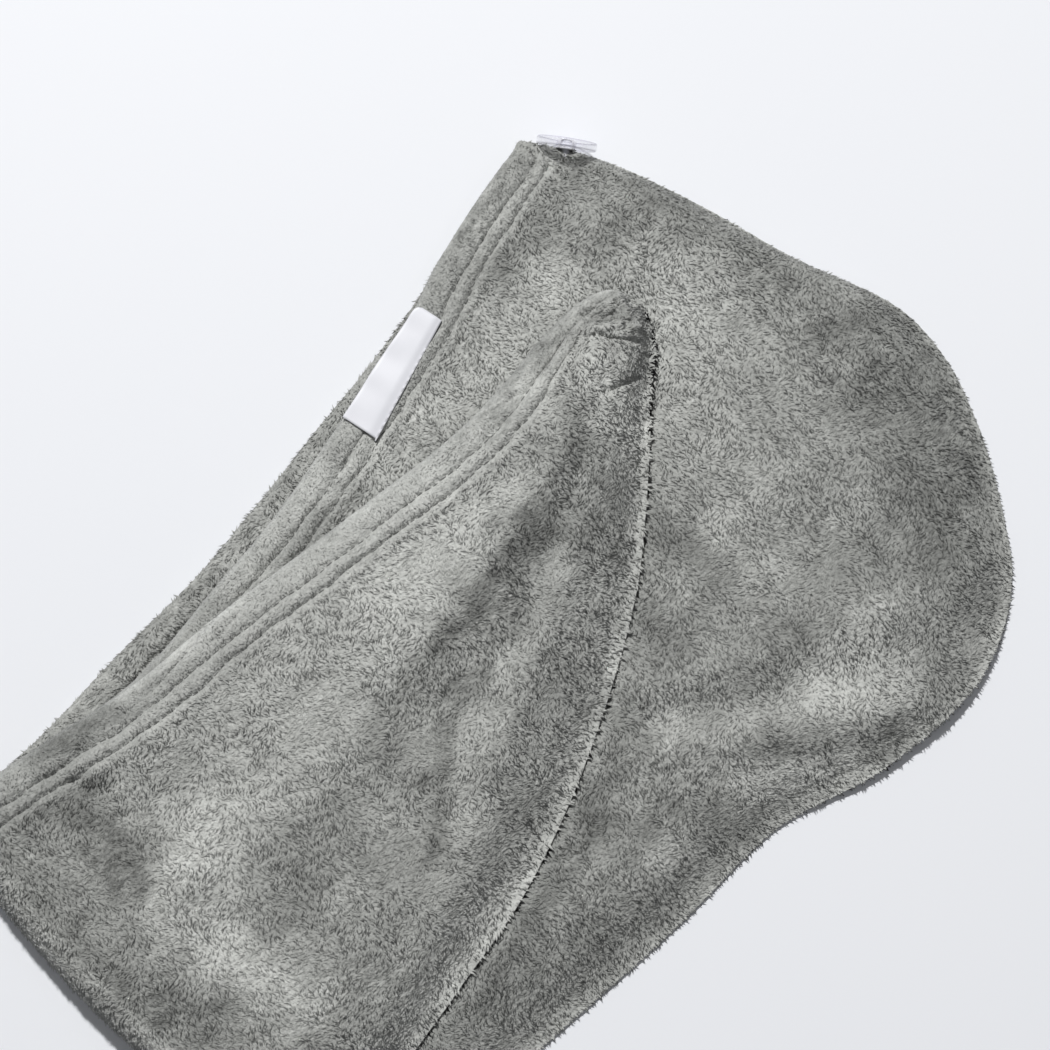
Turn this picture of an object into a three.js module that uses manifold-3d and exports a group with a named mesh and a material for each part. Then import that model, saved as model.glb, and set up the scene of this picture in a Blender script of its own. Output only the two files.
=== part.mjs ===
// A hair turban towel lying folded on a table. Two fleece panels are sewn together round the
// crown and down to a narrow tail, and the open side has a twin-stitched hem. The tail is
// folded back over the hood. Millimetres, +Z up, X along the hem towards the button corner.
import * as THREE from 'three';
import { mergeVertices } from 'three/addons/utils/BufferGeometryUtils.js';
import Module from 'manifold-3d';

// The folded towel's outline
const hoodLength = 376;        // from the fold to the crown
const hoodWidth = 248;         // from the hem to the far seam
const tailLength = 313;        // from the fold to the tail's tip
const foldBow = 13;            // how far the fold bulges between its corners

// The cloth and the air between its layers
const clothWall = 3;           // fleece with its pile
const hoodRoom = 7;            // between the hood's two panels
const tailRoom = 8;            // between the tail's two panels
const layGap = 2;              // between the hood's top and the tail on it
const foldFall = 5;            // how far the tail's top falls towards the fold
const foldFallReach = 52;
const edgeShare = 0.45;        // wall left at a rounded edge

// The seam that joins the panels
const seamGap = 0.4;
const seamReach = 18;          // where a panel starts to bend towards the seam
const seamStrip = 3;           // where the panels lie on each other
const liftReach = 45;          // how far in a lifted edge is felt
const hoodSeamLevel = 0.5;     // height of the seam in the room between the panels, as a share
const tailSeamLevel = 0.1;

// The twin-stitched hem
const hemWall = 4.2;
const hemOuterGroove = 10;     // from the hem's edge to its first row of stitches
const hemInnerGroove = 15.5;
const hemBand = 18;
const hemGrooveDepth = 1.3;

// The label
const labelLength = 48;
const labelWidth = 14.5;
const labelNarrowWidth = 10.5;
const labelWall = 1;
const labelInset = 0.8;        // from the hem's edge

// The button and its thread
const buttonDiameter = 22;
const buttonWall = 3;
const buttonRimWidth = 2.4;
const buttonDishDepth = 0.7;
const buttonHole = 2.2;
const buttonHoleSpread = 5;    // across the square of holes
const buttonTilt = 10;         // degrees from upright, its top over the cloth
const buttonStandOff = 1.2;    // air between the seam and the button
const threadThickness = 1.3;
const threadShank = 3;

// The elastic loop under the tail's tip
const loopLength = 34;
const loopWidth = 14;
const loopThickness = 2.2;
const loopEndGap = 0.8;         // from its ends to the tip's rounded underside

const clearance = 0.3;         // between pieces that touch

// Hood stations from the button corner to the fold. Along is from the fold and across is from
// the hem line, as shares of hoodLength and hoodWidth. Room, bow, recess and lift are shares of
// hoodRoom and foldBow, and millimetres of set-back hem and lifted seam.
// columns: hemAlong, hemAcross, seamAlong, seamAcross, room, bow, recess, lift
const hoodStations = [
  [0.886, -0.006, 0.898, 0.016, 0.00, 0.0, 0, 0],
  [0.879, -0.010, 0.926, 0.097, 0.60, 0.0, 0, 0],
  [0.867, -0.010, 0.952, 0.242, 0.90, 0.0, 0, 0],
  [0.849, -0.009, 0.972, 0.412, 1.00, 0.0, 0, 0],
  [0.826, -0.006, 0.997, 0.558, 1.00, 0.0, 0, 0],
  [0.801, -0.002, 0.989, 0.662, 1.00, 0.0, 0, 0],
  [0.771, 0.004, 0.959, 0.760, 1.00, 0.0, 0, 0],
  [0.737, 0.010, 0.913, 0.860, 1.00, 0.0, 0.5, 0],
  [0.691, 0.019, 0.852, 0.951, 1.00, 0.0, 2.5, 1],
  [0.628, 0.025, 0.762, 0.994, 1.00, 0.0, 4, 4],
  [0.548, 0.027, 0.646, 0.968, 1.00, 0.0, 7, 3],
  [0.460, 0.031, 0.539, 0.905, 1.00, 0.0, 9, 0],
  [0.367, 0.031, 0.417, 0.885, 1.00, 0.1, 9, 0],
  [0.271, 0.018, 0.295, 0.857, 1.00, 0.4, 12, 0],
  [0.176, 0.010, 0.172, 0.822, 1.00, 0.8, 6, 0],
  [0.080, -0.006, 0.061, 0.776, 1.00, 1.0, 3, 0],
];

// Tail stations from the fold to the tip, along as a share of tailLength. Rise is how far the
// tail's underside is held off the hood, and drop how far its top falls beside the crest.
// columns: hemAlong, hemAcross, seamAlong, seamAcross, room, bow, recess, rise, drop
const tailStations = [
  [0.096, -0.006, 0.073, 0.776, 1.00, 1.0, 3, 0.0, 0.0],
  [0.195, 0.030, 0.153, 0.718, 1.00, 0.8, 3, 0.0, 0.5],
  [0.307, 0.075, 0.275, 0.702, 1.00, 0.4, 3, 0.0, 1.5],
  [0.419, 0.101, 0.396, 0.690, 1.00, 0.1, 3, 0.0, 2.5],
  [0.530, 0.133, 0.514, 0.657, 1.00, 0.0, 3, 0.0, 3.5],
  [0.642, 0.165, 0.633, 0.605, 1.00, 0.0, 3, 0.0, 4.0],
  [0.748, 0.194, 0.741, 0.544, 1.00, 0.0, 3, 0.2, 4.0],
  [0.834, 0.202, 0.821, 0.480, 0.95, 0.0, 2, 0.8, 3.0],
  [0.901, 0.202, 0.891, 0.415, 0.85, 0.0, 1, 1.8, 1.5],
  [0.949, 0.210, 0.946, 0.363, 0.65, 0.0, 0, 2.4, 0.5],
  [0.981, 0.226, 0.978, 0.335, 0.35, 0.0, 0, 2.6, 0.0],
  [0.997, 0.250, 1.000, 0.294, 0.00, 0.0, 0, 2.6, 0.0],
];
const crestShare = 0.40;       // the tail's crest, across from its hem
const crestFoot = 0.57;        // where the fall beside it ends

// Folds of the hood's top, each a bend through three places: shares of the way from the button
// corner to the fold and from the hem to the seam, then height and half width.
// columns: startAlong, startAcross, midAlong, midAcross, endAlong, endAcross, height, spread
const hoodFolds = [
  [0.52, 0.95, 0.60, 0.80, 0.70, 0.66, 2.0, 9],
  [0.62, 0.97, 0.67, 0.85, 0.74, 0.76, 1.8, 7],
  [0.57, 0.94, 0.64, 0.81, 0.72, 0.71, -1.4, 6],
  [0.36, 0.30, 0.45, 0.45, 0.52, 0.62, 1.5, 22],
  [0.28, 0.75, 0.36, 0.60, 0.40, 0.45, -1.3, 24],
  [0.20, 0.45, 0.24, 0.65, 0.27, 0.85, 1.4, 20],
];

// Folds of the tail's top, along from the fold and across from the hem.
const tailFolds = [
  [0.38, 0.47, 0.55, 0.49, 0.82, 0.44, 1.6, 13],
  [0.30, 0.76, 0.42, 0.61, 0.62, 0.57, -1.6, 5],
  [0.14, 0.92, 0.36, 0.74, 0.62, 0.66, 2.2, 8],
  [0.34, 0.82, 0.55, 0.80, 0.80, 0.60, -1.6, 5],
  [0.10, 0.16, 0.18, 0.24, 0.24, 0.34, -2.4, 17],
  [0.84, 0.62, 0.88, 0.64, 0.93, 0.72, -1.5, 4],
  [0.90, 0.30, 0.93, 0.36, 0.96, 0.40, -1.8, 4],
  [0.95, 0.14, 0.97, 0.30, 0.97, 0.60, 2.0, 4],
  [0.89, 0.66, 0.92, 0.70, 0.95, 0.86, 1.8, 4],
];

// How finely the cloth is cut into stations and rows
const hoodSteps = 21;
const bendSteps = 7;
const tailSteps = 24;
const bodyRows = 7;

const hoodTop = clothWall + hoodRoom + clothWall;
const tailBase = hoodTop + layGap;

function smooth(share) {
  const s = Math.min(1, Math.max(0, share));
  return s * s * (3 - 2 * s);
}

function mix(a, b, share) {
  return a + (b - a) * share;
}

// A table's row at any place between its rows, on a smooth curve through them
function rowAt(table, share) {
  const last = table.length - 1;
  const place = Math.min(Math.max(share, 0), 1) * last;
  const index = Math.min(Math.floor(place), last - 1);
  const t = place - index;
  return table[index].map((value, column) => {
    const next = table[index + 1][column];
    const before = index > 0 ? table[index - 1][column] : 2 * value - next;
    const after = index + 2 <= last ? table[index + 2][column] : 2 * next - value;
    const slopeIn = (next - before) / 2;
    const slopeOut = (after - value) / 2;
    const rise = next - value;
    return value + t * (slopeIn + t * (3 * rise - 2 * slopeIn - slopeOut
      + t * (slopeIn + slopeOut - 2 * rise)));
  });
}

// The straight line across the cloth at one station
function hoodLine(share) {
  const [hemX, hemY, seamX, seamY, room, bow, recess, lift] = rowAt(hoodStations, share);
  return {
    hem: new THREE.Vector2(hemX * hoodLength, -hemY * hoodWidth),
    seam: new THREE.Vector2(seamX * hoodLength, -seamY * hoodWidth),
    room: Math.max(0, room), bow, recess, lift: Math.max(0, lift), rise: 0, drop: 0,
  };
}

function tailLine(share) {
  const [hemX, hemY, seamX, seamY, room, bow, recess, rise, drop] = rowAt(tailStations, share);
  return {
    hem: new THREE.Vector2(hemX * tailLength, -hemY * hoodWidth),
    seam: new THREE.Vector2(seamX * tailLength, -seamY * hoodWidth),
    room: Math.max(0, room), bow, recess, lift: 0, rise: Math.max(0, rise), drop: Math.max(0, drop),
  };
}

// A place in plan on a station's line, at a distance from its hem end
function placeOn(line, fromHem) {
  const length = line.hem.distanceTo(line.seam);
  const across = fromHem / length;
  const place = line.hem.clone().lerp(line.seam, across);
  place.x -= line.bow * foldBow * 4 * across * (1 - across);
  return place;
}

// Heights of the folds in a table at a place on the cloth
function foldPaths(table, lineAt) {
  const pathSteps = 8;
  return table.map(([a0, c0, a1, c1, a2, c2, height, spread]) => {
    const points = [];
    for (let step = 0; step <= pathSteps; step += 1) {
      const t = step / pathSteps;
      const along = (1 - t) ** 2 * a0 + 2 * t * (1 - t) * a1 + t * t * a2;
      const across = (1 - t) ** 2 * c0 + 2 * t * (1 - t) * c1 + t * t * c2;
      const line = lineAt(along);
      points.push(placeOn(line, across * line.hem.distanceTo(line.seam)));
    }
    return { points, height, spread };
  });
}

function distanceTo(points, place) {
  let nearest = Infinity;
  for (let k = 0; k + 1 < points.length; k += 1) {
    const side = points[k + 1].clone().sub(points[k]);
    const offset = place.clone().sub(points[k]);
    const t = Math.min(1, Math.max(0, offset.dot(side) / Math.max(side.lengthSq(), 1e-9)));
    nearest = Math.min(nearest, offset.addScaledVector(side, -t).length());
  }
  return nearest;
}

const hoodFoldPaths = foldPaths(hoodFolds, hoodLine);
const tailFoldPaths = foldPaths(tailFolds, tailLine);

function foldHeight(paths, place, keepHollows) {
  let height = 0;
  for (const path of paths) {
    const share = distanceTo(path.points, place) / path.spread;
    const part = path.height * Math.exp(-share * share);
    height += part < 0 ? part * keepHollows : part;
  }
  return height;
}

// Rows of a panel from its hem to its seam: distance from the hem, and the wall there
function rowsOn(length) {
  const fit = Math.min(1, length / (2 * (hemBand + seamReach)));
  const groove = hemWall - hemGrooveDepth;
  const hemRows = [
    [0, hemWall, edgeShare],
    [hemOuterGroove * 0.25, hemWall, 1],
    [hemOuterGroove * 0.85, hemWall, 1],
    [hemOuterGroove, groove, 1],
    [(hemOuterGroove + hemInnerGroove) / 2, hemWall, 1],
    [hemInnerGroove, groove, 1],
    [hemBand, clothWall, 1],
  ];
  const rows = hemRows.map(([distance, wall, edge]) => ({ fromHem: distance * fit, wall, edge }));
  const bodyStart = hemBand * fit;
  const bodyEnd = length - seamReach * fit;
  for (let step = 1; step <= bodyRows; step += 1) {
    const fromHem = mix(bodyStart, bodyEnd, step / (bodyRows + 1));
    rows.push({ fromHem, wall: clothWall, edge: 1 });
  }
  const bendIn = [seamReach, mix(seamReach, seamStrip, 0.35), mix(seamReach, seamStrip, 0.7), seamStrip];
  for (const fromSeam of bendIn) {
    rows.push({ fromHem: length - fromSeam * fit, wall: clothWall, edge: 1 });
  }
  rows.push({ fromHem: length, wall: clothWall, edge: edgeShare });
  return rows;
}

// Height of the middle of a panel's wall, and its level before it falls towards the fold. The
// panel is either the one that lies below the room between the two or the one above it.
function wallHeights(line, row, length, place, side) {
  const fromSeam = length - row.fromHem;
  const closed = smooth(1 - (fromSeam - seamStrip) / (seamReach - seamStrip));
  const fullRoom = side.room * line.room;
  const room = mix(Math.max(fullRoom, seamGap), seamGap, closed);
  const lift = line.lift * smooth(1 - fromSeam / liftReach);
  const floor = side.base + line.rise + lift + side.seamLevel * Math.max(0, fullRoom - room);
  if (!side.above) return { level: floor + row.wall / 2, z: floor + row.wall / 2 };
  const hemSpare = (row.wall - clothWall) * Math.max(0, 1 - line.room);
  const across = row.fromHem / length;
  const drop = line.drop * smooth((across - crestShare) / (crestFoot - crestShare)) * (1 - closed);
  const keepHollows = (1 - closed) * Math.min(1, line.room);
  const folds = foldHeight(side.folds, place, keepHollows);
  const level = floor + clothWall + hemSpare + room - drop + folds + row.wall / 2;
  const nearFold = Math.max(0, 1 - Math.max(0, place.x) / foldFallReach);
  return { level, z: level - side.fall * (1 - closed) * line.room * nearFold ** 2 };
}

const hoodSide = {
  base: 0, room: hoodRoom, seamLevel: hoodSeamLevel, fall: 0, folds: hoodFoldPaths,
};
const tailSide = {
  base: tailBase, room: tailRoom, seamLevel: tailSeamLevel, fall: foldFall, folds: tailFoldPaths,
};

// One row of points across a panel at a station of the hood or the tail
function stationPoints(line, side, recess) {
  const length = line.hem.distanceTo(line.seam);
  return rowsOn(length).map((row) => {
    const setBack = recess * (1 - row.fromHem / length);
    const place = placeOn(line, row.fromHem + setBack);
    const { level, z } = wallHeights(line, row, length, place, side);
    return { point: new THREE.Vector3(place.x, place.y, z), wall: row.wall * row.edge, level };
  });
}

// The bend joins the last row of the hood to the first of the tail by a half circle a point.
// It reaches as far out as if the tail's top hadn't fallen.
function bendPoints(hoodRow, tailRow, share) {
  const ends = hoodRow[hoodRow.length - 1].point.clone().sub(hoodRow[0].point);
  const outward = new THREE.Vector3(ends.y, -ends.x, 0).normalize();
  const angle = share * Math.PI;
  return hoodRow.map((low, index) => {
    const high = tailRow[index];
    const radius = (high.level - low.level) / 2;
    const point = low.point.clone().lerp(high.point, (1 - Math.cos(angle)) / 2);
    point.addScaledVector(outward, radius * Math.sin(angle));
    return { point, wall: mix(low.wall, high.wall, share) };
  });
}

// A whole panel from the button corner round the fold to the tail's tip. The outer panel is
// the hood's underside and the tail's top, the inner one the hood's top and the tail's underside.
function panelStations(outer) {
  const stations = [];
  const hoodPart = { ...hoodSide, above: !outer };
  const tailPart = { ...tailSide, above: outer };
  for (let step = 0; step <= hoodSteps; step += 1) {
    const line = hoodLine(step / hoodSteps);
    stations.push(stationPoints(line, hoodPart, outer ? 0 : line.recess));
  }
  const lastHood = stations[stations.length - 1];
  const tailStart = tailLine(0);
  const firstTail = stationPoints(tailStart, tailPart, outer ? 0 : tailStart.recess);
  for (let step = 1; step < bendSteps; step += 1) {
    stations.push(bendPoints(lastHood, firstTail, step / bendSteps));
  }
  for (let step = 0; step <= tailSteps; step += 1) {
    const line = tailLine(step / tailSteps);
    stations.push(stationPoints(line, tailPart, outer ? 0 : line.recess));
  }
  return stations;
}

// A closed geometry from triangles of points, turned so that its faces point out
function closedGeometry(triangles) {
  let volume = 0;
  for (const [a, b, c] of triangles) volume += a.dot(b.clone().cross(c));
  const positions = [];
  for (const [a, b, c] of triangles) {
    const corners = volume < 0 ? [a, c, b] : [a, b, c];
    for (const corner of corners) positions.push(corner.x, corner.y, corner.z);
  }
  const geometry = new THREE.BufferGeometry();
  geometry.setAttribute('position', new THREE.Float32BufferAttribute(positions, 3));
  geometry.computeVertexNormals();
  return geometry;
}

// A sheet with a wall: both faces lie half a wall from its middle points, and its rim is closed
function sheetGeometry(stations) {
  const lastStation = stations.length - 1;
  const lastRow = stations[0].length - 1;
  const pointAt = (i, j) => stations[Math.min(Math.max(i, 0), lastStation)][
    Math.min(Math.max(j, 0), lastRow)].point;
  const faces = [1, -1].map((sign) => stations.map((rows, i) => rows.map(({ point, wall }, j) => {
    const along = pointAt(i + 1, j).clone().sub(pointAt(i - 1, j));
    const across = pointAt(i, j + 1).clone().sub(pointAt(i, j - 1));
    const normal = along.cross(across).normalize();
    return point.clone().addScaledVector(normal, sign * wall / 2);
  })));
  const [front, back] = faces;
  const triangles = [];
  const quad = (a, b, c, d) => triangles.push([a, b, c], [a, c, d]);
  for (let i = 0; i < lastStation; i += 1) {
    for (let j = 0; j < lastRow; j += 1) {
      quad(front[i][j], front[i + 1][j], front[i + 1][j + 1], front[i][j + 1]);
      quad(back[i][j], back[i][j + 1], back[i + 1][j + 1], back[i + 1][j]);
    }
    quad(front[i][0], back[i][0], back[i + 1][0], front[i + 1][0]);
    quad(front[i][lastRow], front[i + 1][lastRow], back[i + 1][lastRow], back[i][lastRow]);
  }
  for (let j = 0; j < lastRow; j += 1) {
    quad(front[0][j], front[0][j + 1], back[0][j + 1], back[0][j]);
    quad(front[lastStation][j], back[lastStation][j], back[lastStation][j + 1], front[lastStation][j + 1]);
  }
  return closedGeometry(triangles);
}

// The label lies on the set-back hem, its long outer edge along the hem's edge
function labelGeometry() {
  const labelStation = 0.593;    // share of the way from the button corner to the fold
  const tangentStep = 0.03;
  const line = hoodLine(labelStation);
  const before = hoodLine(labelStation - tangentStep);
  const after = hoodLine(labelStation + tangentStep);
  const edge = (at) => placeOn(at, at.recess);
  const along = edge(after).sub(edge(before)).normalize();
  const inward = new THREE.Vector2(along.y, -along.x);
  if (inward.dot(line.seam.clone().sub(line.hem)) < 0) inward.negate();
  const middle = clothWall + hoodRoom + hemWall + clearance + labelWall / 2;
  const lengthSteps = 8;
  const widthSteps = 4;
  const stations = [];
  for (let i = 0; i <= lengthSteps; i += 1) {
    const share = i / lengthSteps;
    const width = mix(labelNarrowWidth, labelWidth, share);
    const rows = [];
    for (let j = 0; j <= widthSteps; j += 1) {
      const place = edge(line).addScaledVector(along, (share - 0.5) * labelLength);
      place.addScaledVector(inward, labelInset + width * j / widthSteps);
      rows.push({ point: new THREE.Vector3(place.x, place.y, middle), wall: labelWall });
    }
    stations.push(rows);
  }
  return sheetGeometry(stations);
}

// Booleans on closed meshes
const wasm = await Module();
wasm.setup();

function toSolid(geometry) {
  const bare = geometry.clone();
  bare.deleteAttribute('normal');
  bare.deleteAttribute('uv');
  const merged = mergeVertices(bare, 1e-4);
  return new wasm.Manifold(new wasm.Mesh({
    numProp: 3,
    vertProperties: new Float32Array(merged.attributes.position.array),
    triVerts: new Uint32Array(merged.index.array),
  }));
}

function toGeometry(solid) {
  const mesh = solid.getMesh();
  const geometry = new THREE.BufferGeometry();
  geometry.setAttribute('position', new THREE.Float32BufferAttribute(mesh.vertProperties, 3));
  geometry.setIndex(Array.from(mesh.triVerts));
  const loose = geometry.toNonIndexed();
  loose.computeVertexNormals();
  return loose;
}

// Holes of the button, in its own frame: its axis is Y, and +Y is the side away from the cloth
const holeSides = 8;
const holePlaces = [[-1, -1], [-1, 1], [1, -1], [1, 1]].map(
  ([x, z]) => [x * buttonHoleSpread / 2, z * buttonHoleSpread / 2],
);

function buttonSolid() {
  const radius = buttonDiameter / 2;
  const half = buttonWall / 2;
  const edge = buttonWall * 0.25;
  const dish = radius - buttonRimWidth;
  const profile = [
    [0, -half], [radius - edge, -half], [radius, -half + edge], [radius, half - edge],
    [radius - edge, half], [dish + edge, half], [dish, half - buttonDishDepth],
    [0, half - buttonDishDepth],
  ].map(([x, y]) => new THREE.Vector2(x, y));
  let solid = toSolid(new THREE.LatheGeometry(profile, 32));
  for (const [x, z] of holePlaces) {
    const hole = new THREE.CylinderGeometry(buttonHole / 2, buttonHole / 2, 2 * buttonWall, holeSides);
    solid = solid.subtract(toSolid(hole.translate(x, 0, z)));
  }
  return solid;
}

function threadSolid() {
  const thread = threadThickness / 2;
  const front = buttonWall / 2 - buttonDishDepth + clearance + thread;
  const back = -buttonWall / 2 - clearance;
  const padWall = threadThickness * 0.4;
  const padRadius = buttonHoleSpread * Math.SQRT1_2 + thread;
  const pad = new THREE.CylinderGeometry(padRadius, padRadius * 0.6, padWall, 16);
  let solid = toSolid(pad.translate(0, back - padWall / 2, 0));
  for (const [x, z] of holePlaces) {
    const legLength = front - back + padWall / 2;
    const leg = new THREE.CylinderGeometry(thread, thread, legLength, holeSides);
    solid = solid.add(toSolid(leg.translate(x, front - legLength / 2, z)));
  }
  const barLength = buttonHoleSpread * Math.SQRT2 + threadThickness;
  for (const turn of [Math.PI / 4, -Math.PI / 4]) {
    const bar = new THREE.CapsuleGeometry(thread, barLength - threadThickness, 3, holeSides);
    solid = solid.add(toSolid(bar.rotateZ(Math.PI / 2).rotateY(turn).translate(0, front, 0)));
  }
  const shankLength = buttonStandOff - 2 * clearance;
  const shank = new THREE.CylinderGeometry(threadShank / 2, threadShank / 2, shankLength, 10);
  return solid.add(toSolid(shank.translate(0, back - shankLength / 2, 0)));
}

// Turns a piece from the button's frame to its place against the seam near the corner
function placeButton(geometry) {
  const buttonStation = 0.028;   // share of the way from the button corner to the fold
  const tangentStep = 0.01;
  const seam = hoodLine(buttonStation).seam;
  const tangent = hoodLine(buttonStation + tangentStep).seam.sub(hoodLine(buttonStation - tangentStep).seam);
  const outwardAngle = Math.atan2(-tangent.x, tangent.y);
  const outward = new THREE.Vector2(Math.cos(outwardAngle), Math.sin(outwardAngle));
  if (outward.x < 0) outward.negate();
  const centre = seam.clone().addScaledVector(outward, buttonStandOff + buttonWall / 2);
  const turn = Math.atan2(outward.y, outward.x) - Math.PI / 2;
  geometry.rotateX(THREE.MathUtils.degToRad(buttonTilt));
  geometry.rotateZ(turn);
  return geometry.translate(centre.x, centre.y, buttonDiameter / 2 + clearance);
}

// The elastic loop lies on the hood's top, its ends against the underside of the tail's tip
function loopGeometry() {
  const turns = 28;
  const sides = 8;
  const widestShare = 0.77;      // the widest value of the drop outline below
  const endSpacing = 1.4;        // between the ends, in loop radii from the middle
  const tip = tailLine(1);
  const inner = tailLine(0.8);
  const tipPlace = tip.hem.clone().lerp(tip.seam, 0.5);
  const back = inner.hem.clone().lerp(inner.seam, 0.5).sub(tipPlace).normalize();
  const side = new THREE.Vector2(-back.y, back.x);
  const radius = loopThickness / 2;
  const lying = hoodTop + clearance + radius;
  const endRise = tailBase + tip.rise - loopEndGap - radius - lying;
  const path = [];
  for (let i = 0; i < turns; i += 1) {
    const angle = 2 * Math.PI * i / turns;
    const reach = (1 - Math.cos(angle)) / 2;
    const spread = Math.sin(angle) * Math.sin(angle / 2) * loopWidth / (2 * widestShare);
    const place = tipPlace.clone().addScaledVector(back, seamStrip + reach * (loopLength - loopThickness));
    place.addScaledVector(side, spread + radius * endSpacing * Math.sign(Math.sin(angle)) * (1 - reach));
    const height = lying + Math.max(0, foldHeight(hoodFoldPaths, place, 1));
    path.push(new THREE.Vector3(place.x, place.y, height + endRise * (1 - reach) ** 4));
  }
  const rings = path.map((point, i) => {
    const ahead = path[(i + 1) % turns].clone().sub(path[(i + turns - 1) % turns]).normalize();
    const up = new THREE.Vector3(0, 0, 1);
    const sideways = up.clone().cross(ahead).normalize();
    return Array.from({ length: sides }, (_, k) => {
      const angle = 2 * Math.PI * k / sides;
      return point.clone().addScaledVector(sideways, radius * Math.cos(angle))
        .addScaledVector(up, radius * Math.sin(angle));
    });
  });
  const triangles = [];
  for (let i = 0; i < turns; i += 1) {
    const ring = rings[i];
    const next = rings[(i + 1) % turns];
    for (let k = 0; k < sides; k += 1) {
      const l = (k + 1) % sides;
      triangles.push([ring[k], next[k], next[l]], [ring[k], next[l], ring[l]]);
    }
  }
  return closedGeometry(triangles);
}

function finish(color, roughness, metalness = 0) {
  return new THREE.MeshStandardMaterial({ color, roughness, metalness });
}

function named(name, geometry, material) {
  const mesh = new THREE.Mesh(geometry, material);
  mesh.name = name;
  return mesh;
}

const fleece = finish(0x989a96, 0.95);
const satin = finish(0xf3f3f5, 0.45);
const clearPlastic = finish(0xdcdce6, 0.15);
const whiteThread = finish(0xe6e6ea, 0.8);
const greyElastic = finish(0x8c8e8b, 0.85);

const towel = new THREE.Group();
towel.add(
  named('lower_panel', sheetGeometry(panelStations(true)), fleece),
  named('upper_panel', sheetGeometry(panelStations(false)), fleece),
  named('label', labelGeometry(), satin),
  named('button', placeButton(toGeometry(buttonSolid())), clearPlastic),
  named('button_thread', placeButton(toGeometry(threadSolid())), whiteThread),
  named('elastic_loop', loopGeometry(), greyElastic),
);

// The origin is the middle of the towel's footprint, on the table
const bounds = new THREE.Box3().setFromObject(towel);
const centre = bounds.getCenter(new THREE.Vector3());
towel.position.set(-centre.x, -centre.y, -bounds.min.z);

export default towel;
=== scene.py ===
import math

import bmesh
import bpy
import numpy as np
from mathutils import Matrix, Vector
from mathutils.bvhtree import BVHTree


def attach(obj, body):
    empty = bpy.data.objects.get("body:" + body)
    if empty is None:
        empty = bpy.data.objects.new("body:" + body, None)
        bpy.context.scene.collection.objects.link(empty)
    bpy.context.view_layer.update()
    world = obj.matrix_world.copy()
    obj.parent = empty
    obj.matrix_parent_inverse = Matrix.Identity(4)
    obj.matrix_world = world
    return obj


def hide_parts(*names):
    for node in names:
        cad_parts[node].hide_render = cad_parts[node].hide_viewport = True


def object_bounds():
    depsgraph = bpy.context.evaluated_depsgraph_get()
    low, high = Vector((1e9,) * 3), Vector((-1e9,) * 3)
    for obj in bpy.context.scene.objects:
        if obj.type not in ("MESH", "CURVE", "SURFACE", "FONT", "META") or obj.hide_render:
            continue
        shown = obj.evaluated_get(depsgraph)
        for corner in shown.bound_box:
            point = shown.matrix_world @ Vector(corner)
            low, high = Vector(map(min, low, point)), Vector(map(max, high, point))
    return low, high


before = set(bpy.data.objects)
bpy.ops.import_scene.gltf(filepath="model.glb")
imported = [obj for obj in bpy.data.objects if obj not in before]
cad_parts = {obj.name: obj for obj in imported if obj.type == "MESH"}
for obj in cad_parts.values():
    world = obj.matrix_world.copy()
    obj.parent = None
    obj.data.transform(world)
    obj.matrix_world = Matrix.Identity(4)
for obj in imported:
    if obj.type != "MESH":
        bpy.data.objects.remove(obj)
cad_low, cad_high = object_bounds()

# The towel's plan
# The towel lies folded on a table. Its plan is laid out from the fold and the line of the open
# hem, in millimetres, with X along the hem towards the button corner and Z up. The plan is
# then moved onto the imported model, its crown on the model's highest X and its seam on the
# model's lowest Y, in metres.
mm = 0.001
hood_length = 376.0
hood_width = 248.0
tail_length = 313.0
fold_bow = 13.0

# columns: hem along, hem across, seam along, seam across, room, bow, set-back hem, lifted seam
hood_stations = np.array([
    [0.886, -0.006, 0.898, 0.016, 0.00, 0.0, 0, 4.5],
    [0.879, -0.010, 0.926, 0.097, 0.60, 0.0, 0, 3.5],
    [0.867, -0.010, 0.952, 0.242, 0.90, 0.0, 0, 1.0],
    [0.849, -0.009, 0.972, 0.412, 1.00, 0.0, 0, 0],
    [0.826, -0.006, 0.997, 0.558, 1.00, 0.0, 0, 0],
    [0.801, -0.002, 0.989, 0.662, 1.00, 0.0, 0, 0],
    [0.771, 0.004, 0.959, 0.760, 1.00, 0.0, 0, 0],
    [0.737, 0.010, 0.913, 0.860, 1.00, 0.0, 0.5, 0],
    [0.691, 0.019, 0.852, 0.951, 1.00, 0.0, 2.5, 1],
    [0.628, 0.025, 0.762, 0.994, 1.00, 0.0, 4, 4],
    [0.548, 0.027, 0.646, 0.968, 1.00, 0.0, 7, 3],
    [0.460, 0.031, 0.539, 0.905, 1.00, 0.0, 9, 0],
    [0.367, 0.031, 0.417, 0.885, 1.00, 0.1, 9, 0],
    [0.271, 0.018, 0.295, 0.857, 1.00, 0.4, 12, 0],
    [0.176, 0.010, 0.172, 0.822, 1.00, 0.8, 6, 0],
    [0.080, -0.006, 0.061, 0.776, 1.00, 1.0, 3, 0],
])

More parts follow.
